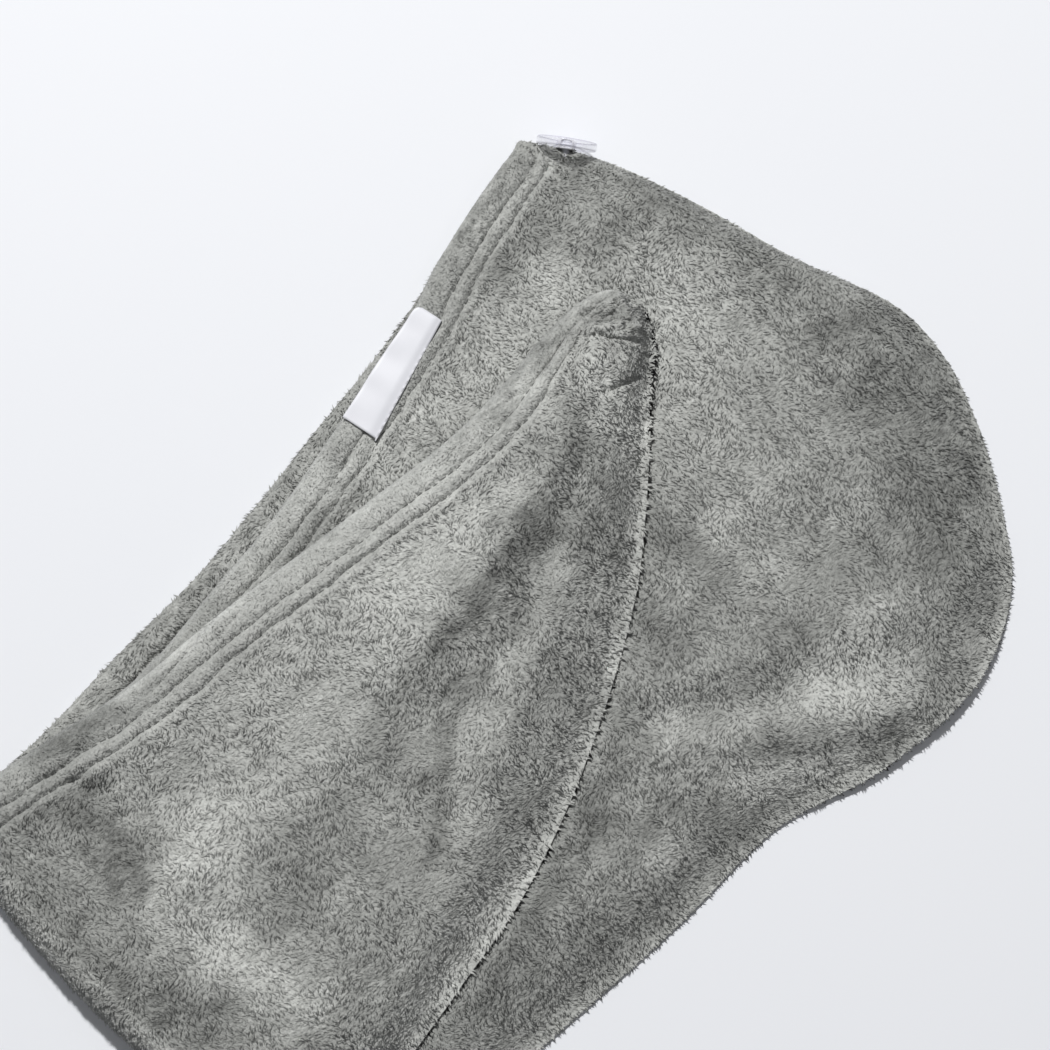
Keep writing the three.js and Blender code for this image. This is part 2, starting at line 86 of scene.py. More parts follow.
# columns: hem along, hem across, seam along, seam across, room, bow, set-back hem, rise, drop
tail_stations = np.array([
    [0.096, -0.006, 0.073, 0.776, 1.00, 1.0, 3, 0.0, 0.0],
    [0.195, 0.030, 0.153, 0.718, 1.00, 0.8, 3, 0.0, 0.5],
    [0.307, 0.075, 0.275, 0.702, 1.00, 0.4, 3, 0.0, 1.5],
    [0.419, 0.101, 0.396, 0.690, 1.00, 0.1, 3, 0.0, 2.5],
    [0.530, 0.133, 0.514, 0.657, 1.00, 0.0, 3, 0.0, 3.5],
    [0.642, 0.165, 0.633, 0.605, 1.00, 0.0, 3, 0.0, 4.0],
    [0.748, 0.194, 0.741, 0.544, 1.00, 0.0, 3, 0.2, 4.0],
    [0.834, 0.202, 0.821, 0.480, 0.95, 0.0, 2, 0.8, 3.0],
    [0.901, 0.202, 0.891, 0.415, 0.65, 0.0, 1, 1.8, 1.5],
    [0.949, 0.210, 0.946, 0.363, 0.42, 0.0, 0, 2.4, 0.5],
    [0.981, 0.226, 0.978, 0.335, 0.20, 0.0, 0, 2.6, 0.0],
    [0.997, 0.250, 1.000, 0.294, 0.00, 0.0, 0, 2.6, 0.0],
])


def smooth(share):
    share = np.clip(share, 0.0, 1.0)
    return share * share * (3 - 2 * share)


def mix(low, high, share):
    return low + (high - low) * share


def rows_at(table, shares):
    """The table's rows at any places between its rows, on smooth curves through them."""
    last = len(table) - 1
    place = np.clip(shares, 0, 1) * last
    index = np.minimum(place.astype(int), last - 1)
    t = (place - index)[:, None]
    ends = np.vstack([2 * table[0] - table[1], table, 2 * table[-1] - table[-2]])
    before, here, after, beyond = (ends[index + k] for k in range(4))
    slope_in, slope_out, rise = (after - before) / 2, (beyond - here) / 2, after - here
    return here + t * (slope_in + t * (3 * rise - 2 * slope_in - slope_out
                                       + t * (slope_in + slope_out - 2 * rise)))


class Lines:
    """Straight lines across the cloth, from the hem to the seam, one for each station."""

    def __init__(self, table, shares, length, tail):
        row = rows_at(table, np.atleast_1d(np.asarray(shares, float))).T
        self.hem = np.stack([row[0] * length, -row[1] * hood_width], -1)
        self.seam = np.stack([row[2] * length, -row[3] * hood_width], -1)
        self.room, self.bow, self.recess = np.maximum(row[4], 0), row[5], row[6]
        nothing = np.zeros(len(row[0]))
        self.lift = nothing if tail else np.maximum(row[7], 0)
        self.rise = np.maximum(row[7], 0) if tail else nothing
        self.drop = np.maximum(row[8], 0) if tail else nothing
        self.length = np.linalg.norm(self.seam - self.hem, axis=1)

    def places(self, across):
        """Places in plan: across is a share of each line, one row of shares for each line."""
        spots = mix(self.hem[:, None], self.seam[:, None], across[..., None])
        spots[..., 0] -= self.bow[:, None] * fold_bow * 4 * across * (1 - across)
        return spots


def hood_lines(shares):
    return Lines(hood_stations, shares, hood_length, False)


def tail_lines(shares):
    return Lines(tail_stations, shares, tail_length, True)


# The camera
# It looks almost straight down on the towel, turned so that the open hem climbs to the upper
# right, and the fold at the towel's lower left runs out of the picture as it does there.
camera_turn = math.radians(-50.3)
camera_height = math.radians(84.0)
camera_distance = 950.0
camera_target = np.array([228.8, -86.5, 0.0])
sensor_width = 36.0
picture_pixels = 1050
pixels_per_mm = 2.8

plan_low = np.array([math.inf, math.inf])
plan_high = -plan_low
outline_shares = np.linspace(0, 1, 400)
for lines in (hood_lines(outline_shares), tail_lines(outline_shares)):
    for ends in (lines.hem, lines.seam):
        plan_low = np.minimum(plan_low, ends.min(0))
        plan_high = np.maximum(plan_high, ends.max(0))
crown_x = plan_high[0]
seam_y = plan_low[1]
to_row_x = cad_high[0] - crown_x * mm
to_row_y = cad_low[1] - seam_y * mm


def in_row(points):
    """Points of the plan, in millimetres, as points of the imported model, in metres."""
    points = np.asarray(points, float) * mm
    return points + np.array([to_row_x, to_row_y, 0.0])


camera_back = np.array([
    math.sin(camera_turn) * math.cos(camera_height),
    -math.cos(camera_turn) * math.cos(camera_height),
    math.sin(camera_height),
])


def placed(name, data):
    """A new object in the scene, at the origin."""
    thing = bpy.data.objects.new(name, data)
    bpy.context.scene.collection.objects.link(thing)
    return thing


camera_data = bpy.data.cameras.new("camera")
camera_data.sensor_width = sensor_width
camera_data.lens = sensor_width * camera_distance * pixels_per_mm / picture_pixels
camera = placed("camera", camera_data)
camera.location = in_row(camera_target + camera_distance * camera_back)
camera.rotation_euler = Vector(camera_back).to_track_quat("Z", "Y").to_euler()
bpy.context.scene.camera = camera


# The two fleece panels
# Each is one length of knitted fleece. They are sewn together round the crown and down to the
# tail's tip, and the open side of each is turned in once and sewn down with a twin needle.
ground_wall = 2.0
pile_height = 0.5
layer_wall = ground_wall + 2 * pile_height
hood_room = 7.0
tail_room = 8.0
lay_gap = 2.0
seam_gap = 0.4
seam_reach = 18.0
seam_strip = 3.0
lift_reach = 45.0
hem_thickening, roll_edge = 1.2, 3.0
hem_grooves = (10.0, 15.5)
hem_band, hem_margin = 18.0, 2.0
groove_depth = 1.6
groove_spread = 1.3
edge_trim = 0.8
edge_round, least_edge = 1.6, 0.06
crest_share, crest_foot = 0.40, 0.57
droop_reach, rest_gap = 12.0, 0.25
press_depth, press_reach, press_fade = 1.8, 20.0, 3.0
press_outside, press_inside = 2.0, 2.0
seam_thinning, thinning_reach = 0.18, 22.0
settled_rise = 0.7
crease_edge = 2.5
table_gap, above_all = 0.05, 60.0
closing_reach, closing_share = 42.0, 0.42
fold_fall, fall_reach = 3.5, 52.0
bend_roundness = 0.78

# Uneven ripples that the cloth, its stitch rows and its pile have. Each row adds one size.
# columns: height, size across, number that sets where they fall
slack_waves = ((0.55, 46, 3), (0.3, 19, 5))
groove_waves = ((0.6, 13, 61),)
lump_waves = ((0.22, 4.2, 41), (0.12, 2.2, 42))
tone_waves = ((0.22, 26, 21), (0.22, 9, 22), (0.12, 4, 23))
nap_waves = ((1.2, 60, 31), (1.0, 20, 32), (0.9, 7, 33), (0.8, 3.4, 34))
stroke_waves = ((3.5, 15, 11), (1.6, 5, 13))
ripple_waves = 18

# Folds of the hood's top, from the button corner to the fold and from the hem to the seam.
# columns: start, middle and end as shares along and across, height, half width
hood_folds = [
    (0.52, 0.95, 0.60, 0.80, 0.70, 0.66, 2.0, 9),
    (0.62, 0.97, 0.67, 0.85, 0.74, 0.76, 1.8, 7),
    (0.57, 0.94, 0.64, 0.81, 0.72, 0.71, -1.4, 6),
    (0.36, 0.30, 0.45, 0.45, 0.52, 0.62, 1.5, 22),
    (0.28, 0.75, 0.36, 0.60, 0.40, 0.45, -1.3, 24),
    (0.20, 0.45, 0.24, 0.65, 0.27, 0.85, 1.4, 20),
]

# Folds of the tail's top, along from the fold and across from the hem.
tail_folds = [
    (0.38, 0.47, 0.55, 0.49, 0.82, 0.44, 1.6, 13),
    (0.30, 0.76, 0.42, 0.61, 0.62, 0.57, -1.6, 5),
    (0.14, 0.92, 0.36, 0.74, 0.62, 0.66, 2.2, 8),
    (0.34, 0.82, 0.55, 0.80, 0.80, 0.60, -1.6, 5),
    (0.10, 0.16, 0.18, 0.24, 0.24, 0.34, -2.4, 17),
    (0.84, 0.62, 0.88, 0.64, 0.93, 0.72, -0.9, 4),
    (0.90, 0.30, 0.93, 0.36, 0.96, 0.40, -1.0, 4),
    (0.95, 0.14, 0.97, 0.30, 0.97, 0.60, 1.2, 4),
    (0.89, 0.66, 0.92, 0.70, 0.95, 0.86, 0.8, 4),
]

# Gathers that pull the cloth together at the tail's tip, and a pinch in its hem. Each is a
# straight crest or crease.
# columns: start x, start y, end x, end y on the plan, height, half width
tail_creases = [
    (309.6, -61.6, 306.5, -69.0, 1.7, 1.2), (305.0, -73.0, 308.5, -77.0, 1.3, 1.1),
    (296.0, -56.5, 302.5, -65.0, -2.2, 2.2), (310.5, -68.0, 308.5, -75.0, -1.6, 2.0),
    (294.5, -66.5, 302.0, -76.5, -1.7, 1.0), (293.0, -61.5, 302.5, -68.5, 1.2, 1.2),
    (297.0, -60.0, 304.5, -67.5, 0.9, 0.8), (294.5, -58.6, 301.5, -67.2, -1.0, 0.8),
    (295.5, -66.5, 294.0, -76.5, -1.2, 1.2), (299.0, -71.0, 302.5, -75.5, 1.0, 1.0),
    (289.0, -78.0, 299.5, -81.0, 0.6, 2.4), (282.0, -80.8, 293.0, -85.0, -1.9, 1.1),
    (279.0, -84.5, 286.0, -93.0, 0.9, 4.0), (268.0, -63.0, 288.0, -69.0, 1.6, 6.0),
    (255.0, -57.0, 262.0, -58.0, -1.2, 2.0), (270.0, -58.5, 276.0, -59.0, -1.0, 1.6),
    (284.0, -47.0, 311.0, -60.5, 0.9, 3.0), (56.0, -20.0, 62.0, -34.0, -1.8, 2.6),
]

hood_steps, bend_steps, tail_steps = 160, 20, 170
tip_crowding, seam_crowding = 1.5, 1.5
hem_rows, body_rows, seam_rows = 28, 48, 14


def fold_paths(table, lines_of):
    """Each fold of a table as a bent path in plan, with its height and spread."""
    t = np.linspace(0, 1, 9)
    paths = []
    for a0, c0, a1, c1, a2, c2, height, spread in table:
        along = (1 - t) ** 2 * a0 + 2 * t * (1 - t) * a1 + t * t * a2
        across = (1 - t) ** 2 * c0 + 2 * t * (1 - t) * c1 + t * t * c2
        places = lines_of(along).places(across[:, None])[:, 0]
        paths.append((places, height, spread))
    return paths


def capsule_distance(places, start, end):
    """Distance of places in plan from a straight stroke."""
    start, end = np.array(start, float), np.array(end, float)
    side = end - start
    offset = places - start
    t = np.clip((offset @ side) / max(side @ side, 1e-9), 0, 1)
    return np.linalg.norm(offset - t[..., None] * side, axis=-1)


def distance_to(path, places):
    """Distance of places in plan from the nearest stroke of a path."""
    return np.min([capsule_distance(places, *ends) for ends in zip(path[:-1], path[1:])], axis=0)


def fold_height(paths, places, keep_hollows):
    """How far folds lift the cloth, with their hollows filled in where there's no room below."""
    height = np.zeros(places.shape[:-1])
    for path, top, spread in paths:
        part = top * np.exp(-(distance_to(path, places) / spread) ** 2)
        height += part if top > 0 else part * keep_hollows
    return height


def ripples(places, size, seed):
    """Soft uneven ripples of about one size, between -1 and 1, the same in every run."""
    random = np.random.default_rng(seed)
    total = np.zeros(places.shape[:-1])
    for _ in range(ripple_waves):
        turn = random.uniform(0, 2 * math.pi)
        count = 2 * math.pi / (size * random.uniform(0.7, 1.5))
        heading = np.array([math.cos(turn), math.sin(turn)]) * count
        total += np.sin(places @ heading + random.uniform(0, 2 * math.pi))
    return total / math.sqrt(ripple_waves / 2) / 2


def rippled(places, table):
    """Ripples of several sizes laid over one another."""
    return sum(height * ripples(places, size, seed) for height, size, seed in table)


def hem_wall(from_hem, fit, sway):
    """Wall of the layer at a distance from the hem: the turned-in roll and two stitch grooves."""
    place = from_hem / fit
    first, second = hem_grooves
    roll_end = hem_band + roll_edge
    roll = smooth(place / roll_edge) * (1 - smooth((place - second) / (roll_end - second)))
    wall = layer_wall + hem_thickening * roll
    for groove in hem_grooves:
        wall -= groove_depth * np.exp(-((place - groove - sway) / groove_spread) ** 2)
    return wall


class Side:
    """The hood or the tail: where it lies, the room in it, and how its folds run."""

    def __init__(self, base, room, seam_level, folds):
        self.base, self.room, self.seam_level, self.folds = base, room, seam_level, folds


tail_seam = tail_lines(np.linspace(0, 1, 120)).seam


def pressed(places):
    """How far the hood gives under the tail's sewn edge."""
    within = np.where(places[..., 1] > np.interp(places[..., 0], *tail_seam.T), 1, -1)
    within = within * distance_to(tail_seam, places)
    begun = smooth((within + press_outside) / (press_outside + press_inside))
    return press_depth * (begun * smooth(1 - within / press_reach))


hood_top = 2 * layer_wall + hood_room
hood_side = Side(0.0, hood_room, 0.02, fold_paths(hood_folds, hood_lines))
tail_side = Side(hood_top + lay_gap, tail_room, 0.0, fold_paths(tail_folds, tail_lines))


def row_places(lines):
    """Distances from the hem of each station's rows, and how much its hem and seam are squeezed."""
    full = 2 * (hem_band + seam_reach)
    fit = np.minimum(1, lines.length / full)[:, None]
    hem_part = np.linspace(0, hem_band + hem_margin, hem_rows)[None] * fit
    seam_start = lines.length[:, None] - seam_reach * fit
    body = np.linspace(0, 1, body_rows + 2)[None, 1:-1]
    body_part = mix(hem_part[:, -1:], seam_start, body)
    ease = 1 - (1 - np.linspace(0, 1, seam_rows)[None]) ** seam_crowding
    seam_part = mix(seam_start, lines.length[:, None], ease)
    return np.hstack([hem_part, body_part, seam_part]), fit


def lay_out(lines, side, above, recess):
    """Middle points and walls of a panel's rows at the stations of the hood or the tail."""
    from_hem, fit = row_places(lines)
    length = lines.length[:, None]
    from_seam = length - from_hem
    trimmed = edge_trim * fit + from_hem * (1 - 2 * edge_trim * fit / length)
    set_back = recess[:, None] * (1 - from_hem / length)
    places = lines.places((trimmed + set_back) / length)
    near_rim = np.minimum(from_hem, from_seam)
    near_edge = near_rim / fit
    closing = np.maximum(np.minimum(closing_reach, closing_share * length), 2 * seam_strip)
    closed = smooth(1 - (from_seam - seam_strip) / (closing - seam_strip))
    full_room = side.room * lines.room[:, None]
    room = mix(np.maximum(full_room, seam_gap), seam_gap, closed)
    lift = lines.lift[:, None] * smooth(1 - from_seam / lift_reach)
    sink = side.seam_level * np.maximum(0, full_room - room)
    wall = hem_wall(from_hem, fit, rippled(places, groove_waves))
    ground = wall - 2 * pile_height
    thin = mix(1.0, seam_thinning, smooth(1 - from_seam / thinning_reach))
    wall, ground = wall * thin, ground * thin
    z = side.base + lines.rise[:, None] + lift + sink + wall / 2
    if above:
        spare = (wall - layer_wall) * np.maximum(0, 1 - lines.room[:, None])
        spare = spare + np.minimum(0, wall - layer_wall) * closed
        across = from_hem / length
        fall = smooth((across - crest_share) / (crest_foot - crest_share)) * (1 - closed)
        keep = (1 - closed) * np.minimum(1, lines.room[:, None])
        z = z + layer_wall + spare + room - lines.drop[:, None] * fall
        z = z + fold_height(side.folds, places, keep) + rippled(places, slack_waves) * keep
        if side is hood_side:
            z = z - pressed(places) * np.minimum(1, press_fade * (1 - closed))
    if side is tail_side:
        rests = np.maximum(smooth(1 - from_hem / droop_reach), smooth(1 - from_seam / closing))
        down = side.base + settled_rise * lines.rise[:, None]
        z = z + rests * (level_of(hood_skin, places) + rest_gap - down)
        if above:
            from_fold = np.maximum(0, places[..., 0])
            near_fold = np.maximum(0, 1 - from_fold / fall_reach) ** 2
            z = z - fold_fall * near_fold * lines.room[:, None] * (1 - closed)
            for x0, y0, x1, y1, height, spread in tail_creases:
                away = capsule_distance(places, (x0, y0), (x1, y1))
                z = z + height * np.exp(-(away / spread) ** 2) * smooth(near_rim / crease_edge)
    rounding = np.sqrt(np.clip(1 - (1 - near_edge / edge_round) ** 2, least_edge, 1))
    rounding = np.where(near_edge < edge_round, rounding, 1)
    points = np.concatenate([places, z[..., None]], -1)
    return points, ground * rounding, from_hem, from_seam


def skin_of_hood():
    """The hood's top as a surface that the tail can rest on."""
    lines = hood_lines(np.linspace(0, 1, hood_steps))
    points, ground, _, _ = lay_out(lines, hood_side, True, lines.recess)
    points[..., 2] += ground / 2
    grid = np.arange(ground.size).reshape(ground.shape)
    quads = np.stack([grid[:-1, :-1], grid[1:, :-1], grid[1:, 1:], grid[:-1, 1:]], -1)
    return BVHTree.FromPolygons(points.reshape(-1, 3).tolist(), quads.reshape(-1, 4).tolist())


def level_of(skin, places):
    """Heights of a surface at places in plan, or of its nearest edge beside it."""
    levels = []
    for x, y in places.reshape(-1, 2):
        hit = skin.ray_cast((x, y, above_all), (0, 0, -1))[0] or skin.find_nearest((x, y, 0.0))[0]
        levels.append(hit[2])
    return np.array(levels).reshape(places.shape[:-1])


hood_skin = skin_of_hood()
on_hood, on_bend, on_tail = 0, 1, 2


def panel_layout(outer):
    """A whole panel, from the button corner round the fold to the tail's tip."""
    hood = hood_lines(np.linspace(0, 1, hood_steps))
    tail = tail_lines(1 - (1 - np.linspace(0, 1, tail_steps)) ** tip_crowding)
    set_back = 0.0 if outer else 1.0
    low = lay_out(hood, hood_side, not outer, set_back * hood.recess)
    high = lay_out(tail, tail_side, outer, set_back * tail.recess)
    start, end = low[0][-1], high[0][0]
    across = start[-1] - start[0]
    outward = np.array([across[1], -across[0], 0]) / math.hypot(across[0], across[1])
    share = np.linspace(0, 1, bend_steps + 1)[1:-1]
    angle = (share * math.pi)[:, None, None]
    radius = (lay_gap + layer_wall + (hood_top + tail_room if outer else 0)) / 2
    bend = mix(start[None], end[None], (1 - np.cos(angle)) / 2)
    bend = bend + outward * radius * bend_roundness * np.sin(angle)
    parts = [np.concatenate([low[0], bend, high[0]])]
    for k in (1, 2, 3):
        between = mix(low[k][-1][None], high[k][0][None], share[:, None])
        parts.append(np.concatenate([low[k], between, high[k]]))
    stretch = np.repeat([on_hood, on_bend, on_tail], [hood_steps, len(share), tail_steps])
    return (*parts, stretch)


def sheet_sides(points, wall):
    """Both faces of a sheet, and the normals of its middle."""
    along = np.gradient(points, axis=0)
    across = np.gradient(points, axis=1)
    normal = np.cross(along, across)
    normal /= np.linalg.norm(normal, axis=-1, keepdims=True)
    half = wall[..., None] / 2
    return points + normal * half, points - normal * half, normal


def sheet_faces(stations, rows):
    """Corner indices of a closed sheet whose front points come first, then its back points."""
    grid = np.arange(stations * rows).reshape(stations, rows)
    back = grid + stations * rows
    a, b, c, d = grid[:-1, :-1], grid[1:, :-1], grid[1:, 1:], grid[:-1, 1:]
    quads = [np.stack([a, b, c, d], -1).reshape(-1, 4)]
    shift = stations * rows
    quads.append(np.stack([a, d, c, b], -1).reshape(-1, 4) + shift)
    for line, other, flip in ((grid[:, 0], back[:, 0], False), (grid[:, -1], back[:, -1], True),
                              (grid[0], back[0], True), (grid[-1], back[-1], False)):
        rim = np.stack([line[:-1], other[:-1], other[1:], line[1:]], -1)
        quads.append(rim[:, ::-1] if flip else rim)
    return np.concatenate(quads)


def new_mesh(name, points, faces):
    """A mesh object at the origin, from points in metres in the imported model's frame."""
    mesh = bpy.data.meshes.new(name)
    mesh.from_pydata(points.tolist(), [], [list(map(int, face)) for face in faces])
    mesh.validate()
    work = bmesh.new()
    work.from_mesh(mesh)
    if work.calc_volume(signed=True) < 0:
        bmesh.ops.reverse_faces(work, faces=work.faces)
    work.to_mesh(mesh)
    work.free()
    mesh.shade_smooth()
    return placed(name, mesh)


def store(mesh, name, kind, values):
    """Keeps a number or a vector at each point of a mesh."""
    layer = mesh.attributes.new(name, kind, "POINT")
    field = "vector" if kind == "FLOAT_VECTOR" else "value"
    layer.data.foreach_set(field, np.ascontiguousarray(values, np.float32).ravel())


# The pile lies lighter or darker where a hand has brushed it, and the same strokes paint shade and
# highlights where its folds and edges turn from the light or towards it, such as the shadow beside
# the tail's sewn edge, the fold's shaded side and a highlight on the rim of the tail's tip. Each row is
# one stroke.
# columns: start x, start y, end x, end y on the plan, half width, lighter or darker
hood_brushing_and_shade = [
    (240, -40, 305, -40, 10, 0.9), (325, -70, 305, -92, 15, 0.8), (330, -85, 345, -85, 10, 0.4),
    (285, -6, 335, -3, 5, -0.35), (290, -12, 335, -9, 4, 0.5), (290, -22, 338, -22, 6, -0.7),
    (320, -42, 348, -46, 7, -0.7), (350, -55, 357, -100, 8, -0.8), (350, -125, 356, -133, 10, -1.0),
    (372, -140, 372, -160, 9, -0.6), (345, -195, 325, -195, 14, -0.5), (340, -150, 366, -172, 16, -0.4),
    (240, -103, 236, -122, 9, -0.8), (256, -118, 257, -150, 7, -0.9), (275, -128, 268, -136, 6, -0.3),
    (266, -141, 274, -141, 7, 0.9), (240, -139, 252, -146, 5, 0.7), (285, -118, 290, -126, 6, 0.5),
    (335, -117, 335, -120, 6, 0.3), (290, -142, 305, -142, 5, 0.4), (264, -160, 268, -162, 7, 0.4),
    (246, -206, 262, -222, 9, 0.9), (256, -204, 282, -202, 10, 0.8), (212, -170, 230, -196, 8, 0.5),
    (205, -203, 235, -229, 5, 0.9), (200, -160, 206, -175, 6, 0.3), (168, -196, 180, -208, 5, 0.8),
    (224, -202, 238, -220, 5, -0.8), (246, -228, 252, -240, 8, -0.4), (275, -236, 290, -232, 10, -0.2),
    (160, -172, 174, -190, 6, -0.7), (180, -206, 196, -216, 8, -0.8), (185, -188, 195, -200, 6, -0.5),
    (90, -186, 140, -196, 12, -0.4), (60, -178, 110, -182, 8, -0.4), (120, -178, 200, -164, 6, -0.5),
    (300, -205, 310, -225, 12, -0.4), (220, -150, 245, -165, 14, -0.2), (125, -205, 160, -210, 8, -0.4),
    (300, -165, 315, -175, 14, -0.2), (190, -22, 215, -35, 9, 0.5), (150, -22, 190, -20, 7, 0.6),
    (350, -160, 322, -208, 16, -0.7), (247, -140, 230, -154, 9, -0.6), (220, -180, 256, -185, 9, -0.5),
    (262, -186, 295, -192, 9, -0.6), (211, -40, 220, -20, 6, 0.6), (90, -180, 155, -172, 4, -0.5),
    (155, -172, 190, -162, 4, -0.5), (190, -162, 235, -140, 4, -0.4),
    (160, -33, 195, -34, 4, -0.5), (170, -10, 215, -12, 4, -0.2), (345, -140, 350, -140, 5, 0.4),
]
tail_brushing_and_shade = [
    (60, -72, 78, -68, 9, 1.3), (43, -78, 44, -100, 6, 1.0), (50, -98, 53, -135, 7, 1.2),
    (80, -50, 210, -62, 20, 0.5), (95, -78, 180, -76, 12, 0.5), (185, -70, 245, -76, 9, 0.8),
    (172, -60, 174, -74, 5, 0.5), (195, -52, 240, -60, 7, 0.4), (265, -62, 285, -72, 9, 0.9),
    (120, -18, 158, -27, 6, 1.0), (95, -12, 118, -15, 5, 0.6), (160, -38, 250, -46, 4, 0.4),
    (54, -38, 50, -62, 8, -1.3), (15, -30, 15, -80, 12, -0.5), (22, -80, 26, -125, 8, -0.6),
    (4, -40, 4, -120, 3, -0.2), (60, -10, 85, -17, 5, -1.2), (35, -20, 60, -30, 9, -0.5),
    (120, -15, 138, -18, 5, -0.9), (80, -52, 90, -60, 8, -0.5), (38, -55, 40, -60, 6, 0.3),
    (145, -93, 175, -90, 4, -0.6), (180, -92, 228, -94, 5, -1.3), (220, -88, 255, -86, 5, -0.9),
    (226, -96, 238, -104, 6, -0.9), (60, -104, 85, -108, 13, -0.6), (88, -98, 150, -104, 9, -0.3),
    (205, -105, 168, -108, 3, -0.7), (168, -108, 140, -120, 3, -0.9), (140, -120, 118, -138, 3.5, -0.9),
    (185, -114, 155, -121, 5, 0.5), (150, -124, 130, -142, 4, 0.5), (222, -105, 226, -110, 5, 0.5),
    (178, -133, 200, -133, 6, -0.5), (148, -142, 154, -156, 6, -0.6), (196, -146, 206, -148, 5, -0.4),
    (70, -150, 78, -158, 8, -0.4), (100, -128, 118, -132, 10, -0.2), (60, -168, 130, -170, 5, 0.6),
    (130, -170, 205, -152, 4, 0.5), (205, -150, 262, -117, 4, 0.4), (270, -98, 300, -90, 6, 0.6),
    (262, -100, 240, -118, 8, -0.4), (90, -160, 120, -162, 6, 0.3), (238, -72, 262, -84, 6, -0.5),
    (260, -50, 290, -56, 3, -0.7), (296, -60, 308, -68, 6, -0.3), (282, -81, 302, -86, 3, -0.6),
    (295, -48.5, 307, -55.5, 2.5, 0.9), (307, -55.5, 313, -65, 2.5, 1.0), (301, -54, 301, -66, 2.5, -0.5),
    (292, -57, 300, -73, 5, 0.5), (283, -76, 276, -95, 6, 0.9), (72, -83, 54, -104, 9, 0.7),
    (31, -38, 38, -62, 9, -0.5), (63, -58, 66, -62, 7, -0.5), (11, -100, 32, -109, 8, -0.5),
    (91, -14, 136, -25, 6, 0.6),
]


stroke_softness, strongest_tone = 1.15, 1.3


def brushed_and_shaded(strokes, places):
    """How light the pile lies, about -1 to 1: the strokes of brushing and painted shade and highlights,
    with ragged edges, and small unevenness.
    """
    wander = np.zeros(places.shape)
    for reach, size, seed in stroke_waves:
        wander += np.stack([ripples(places, size, seed), ripples(places, size, seed + 1)], -1) * reach
    tone = np.zeros(places.shape[:-1])
    for x0, y0, x1, y1, radius, strength in strokes:
        distance = capsule_distance(places + wander, (x0, y0), (x1, y1))
        tone += strength * np.exp(-(distance / (stroke_softness * radius)) ** 2)
    tone += rippled(places, tone_waves)
    return np.clip(tone, -strongest_tone, strongest_tone)


usual_nap = math.radians(-105)


def nap_heading(places):
    """The way that the pile lies, in plan, turned here and there by a hand."""
    angle = usual_nap + rippled(places, nap_waves)
    return np.stack([np.cos(angle), np.sin(angle), np.zeros(angle.shape)], -1)


# The label lies on the set-back hem, so the cloth needs its place before it grows pile.
label_station, label_step = 0.593, 0.03
label_length = 48.0
label_wide, label_narrow = 14.5, 10.5
label_inset = 0.8
label_end_share, label_edge = 0.01, 0.3

label_lines = hood_lines([label_station - label_step, label_station, label_station + label_step])
label_edges = label_lines.places((label_lines.recess / label_lines.length)[:, None])[:, 0]
label_along = (label_edges[2] - label_edges[0]) / np.linalg.norm(label_edges[2] - label_edges[0])
label_inward = np.array([label_along[1], -label_along[0]])
if label_inward @ (label_lines.seam[1] - label_lines.hem[1]) < 0:
    label_inward = -label_inward


def under_label(points):
    """The points that the label covers, a little in from its edges."""
    offset = points[:, :2] - label_edges[1]
    share = offset @ label_along / label_length + 0.5
    depth = offset @ label_inward - label_inset
    within = (share > label_end_share) & (share < 1 - label_end_share) & (depth > label_edge)
    within &= depth < mix(label_narrow, label_wide, share) - label_edge
    return within & (points[:, 2] > hood_top - 2)


def groove_path(face, from_hem, groove):
    """Where one row of the twin needle's stitches runs on the outside of a hem."""
    def at(target):
        return np.array([[np.interp(place, reach, line[:, k]) for k in range(3)]
                         for place, reach, line in zip(target, from_hem, face)])
    straight = at(np.full(len(face), groove))
    return at(groove + rippled(straight[:, :2], groove_waves))


# Where and how the pile grows, in millimetres from the hem and the seam.
outer_rim_cover, outer_inside_cover, strip_cover = 10.0, 14.0, 22.0
inner_rim_cover, inner_inside_cover = 7.0, 6.0
hidden_margin, table_clearance = 12.0, 0.7
hem_lean, seam_lean = 0.9, 1.5
hem_edge, seam_edge, combed_reach = 4.0, 5.0, 9.0
hem_shortening, low_pile = 0.34, 0.55
groove_floor, groove_flank = 0.3, 1.6
hood_fringe, tail_fringe = 0.9, 1.45
# Painted highlights: the pile is painted lighter along the sewn rims and on the fold's bend, where its
# edges catch the light.
hood_rim_painted_highlight, hood_rim_reach = 0.7, 5.0
tail_rim_painted_highlight, tail_rim_reach = 0.45, 17.0
bend_painted_highlight = 0.7


def under_tail(places):
    """The places that the tail hides, away from its edges."""
    edges = tail_lines(np.linspace(0, 1, 200))
    x, y = places.T
    below_hem = y < np.interp(x, *edges.hem.T) - hidden_margin
    above_seam = y > np.interp(x, *edges.seam.T) + hidden_margin
    return (x < tail_length - hidden_margin) & below_hem & above_seam


def covered(points, outer, outside, region, hem, seam):
    """Where a panel's pile grows, as far as it shows, and the lower panel's strip past the hem."""
    near_rim = np.minimum(hem, seam)
    on_the_hood = region == on_hood
    if outer:
        strip = ~outside & on_the_hood & (hem < strip_cover)
        rim = (near_rim < outer_rim_cover) & (points[:, 2] > table_clearance)
        cover = strip | (outside & (~on_the_hood | rim)) | (~outside & (hem < outer_inside_cover))
        return cover, strip
    cover = outside & on_the_hood & ~under_tail(points[:, :2])
    cover |= outside & (region == on_tail) & (near_rim < inner_rim_cover)
    cover |= ~outside & (hem < inner_inside_cover)
    return cover & ~under_label(points), np.zeros(len(points), bool)


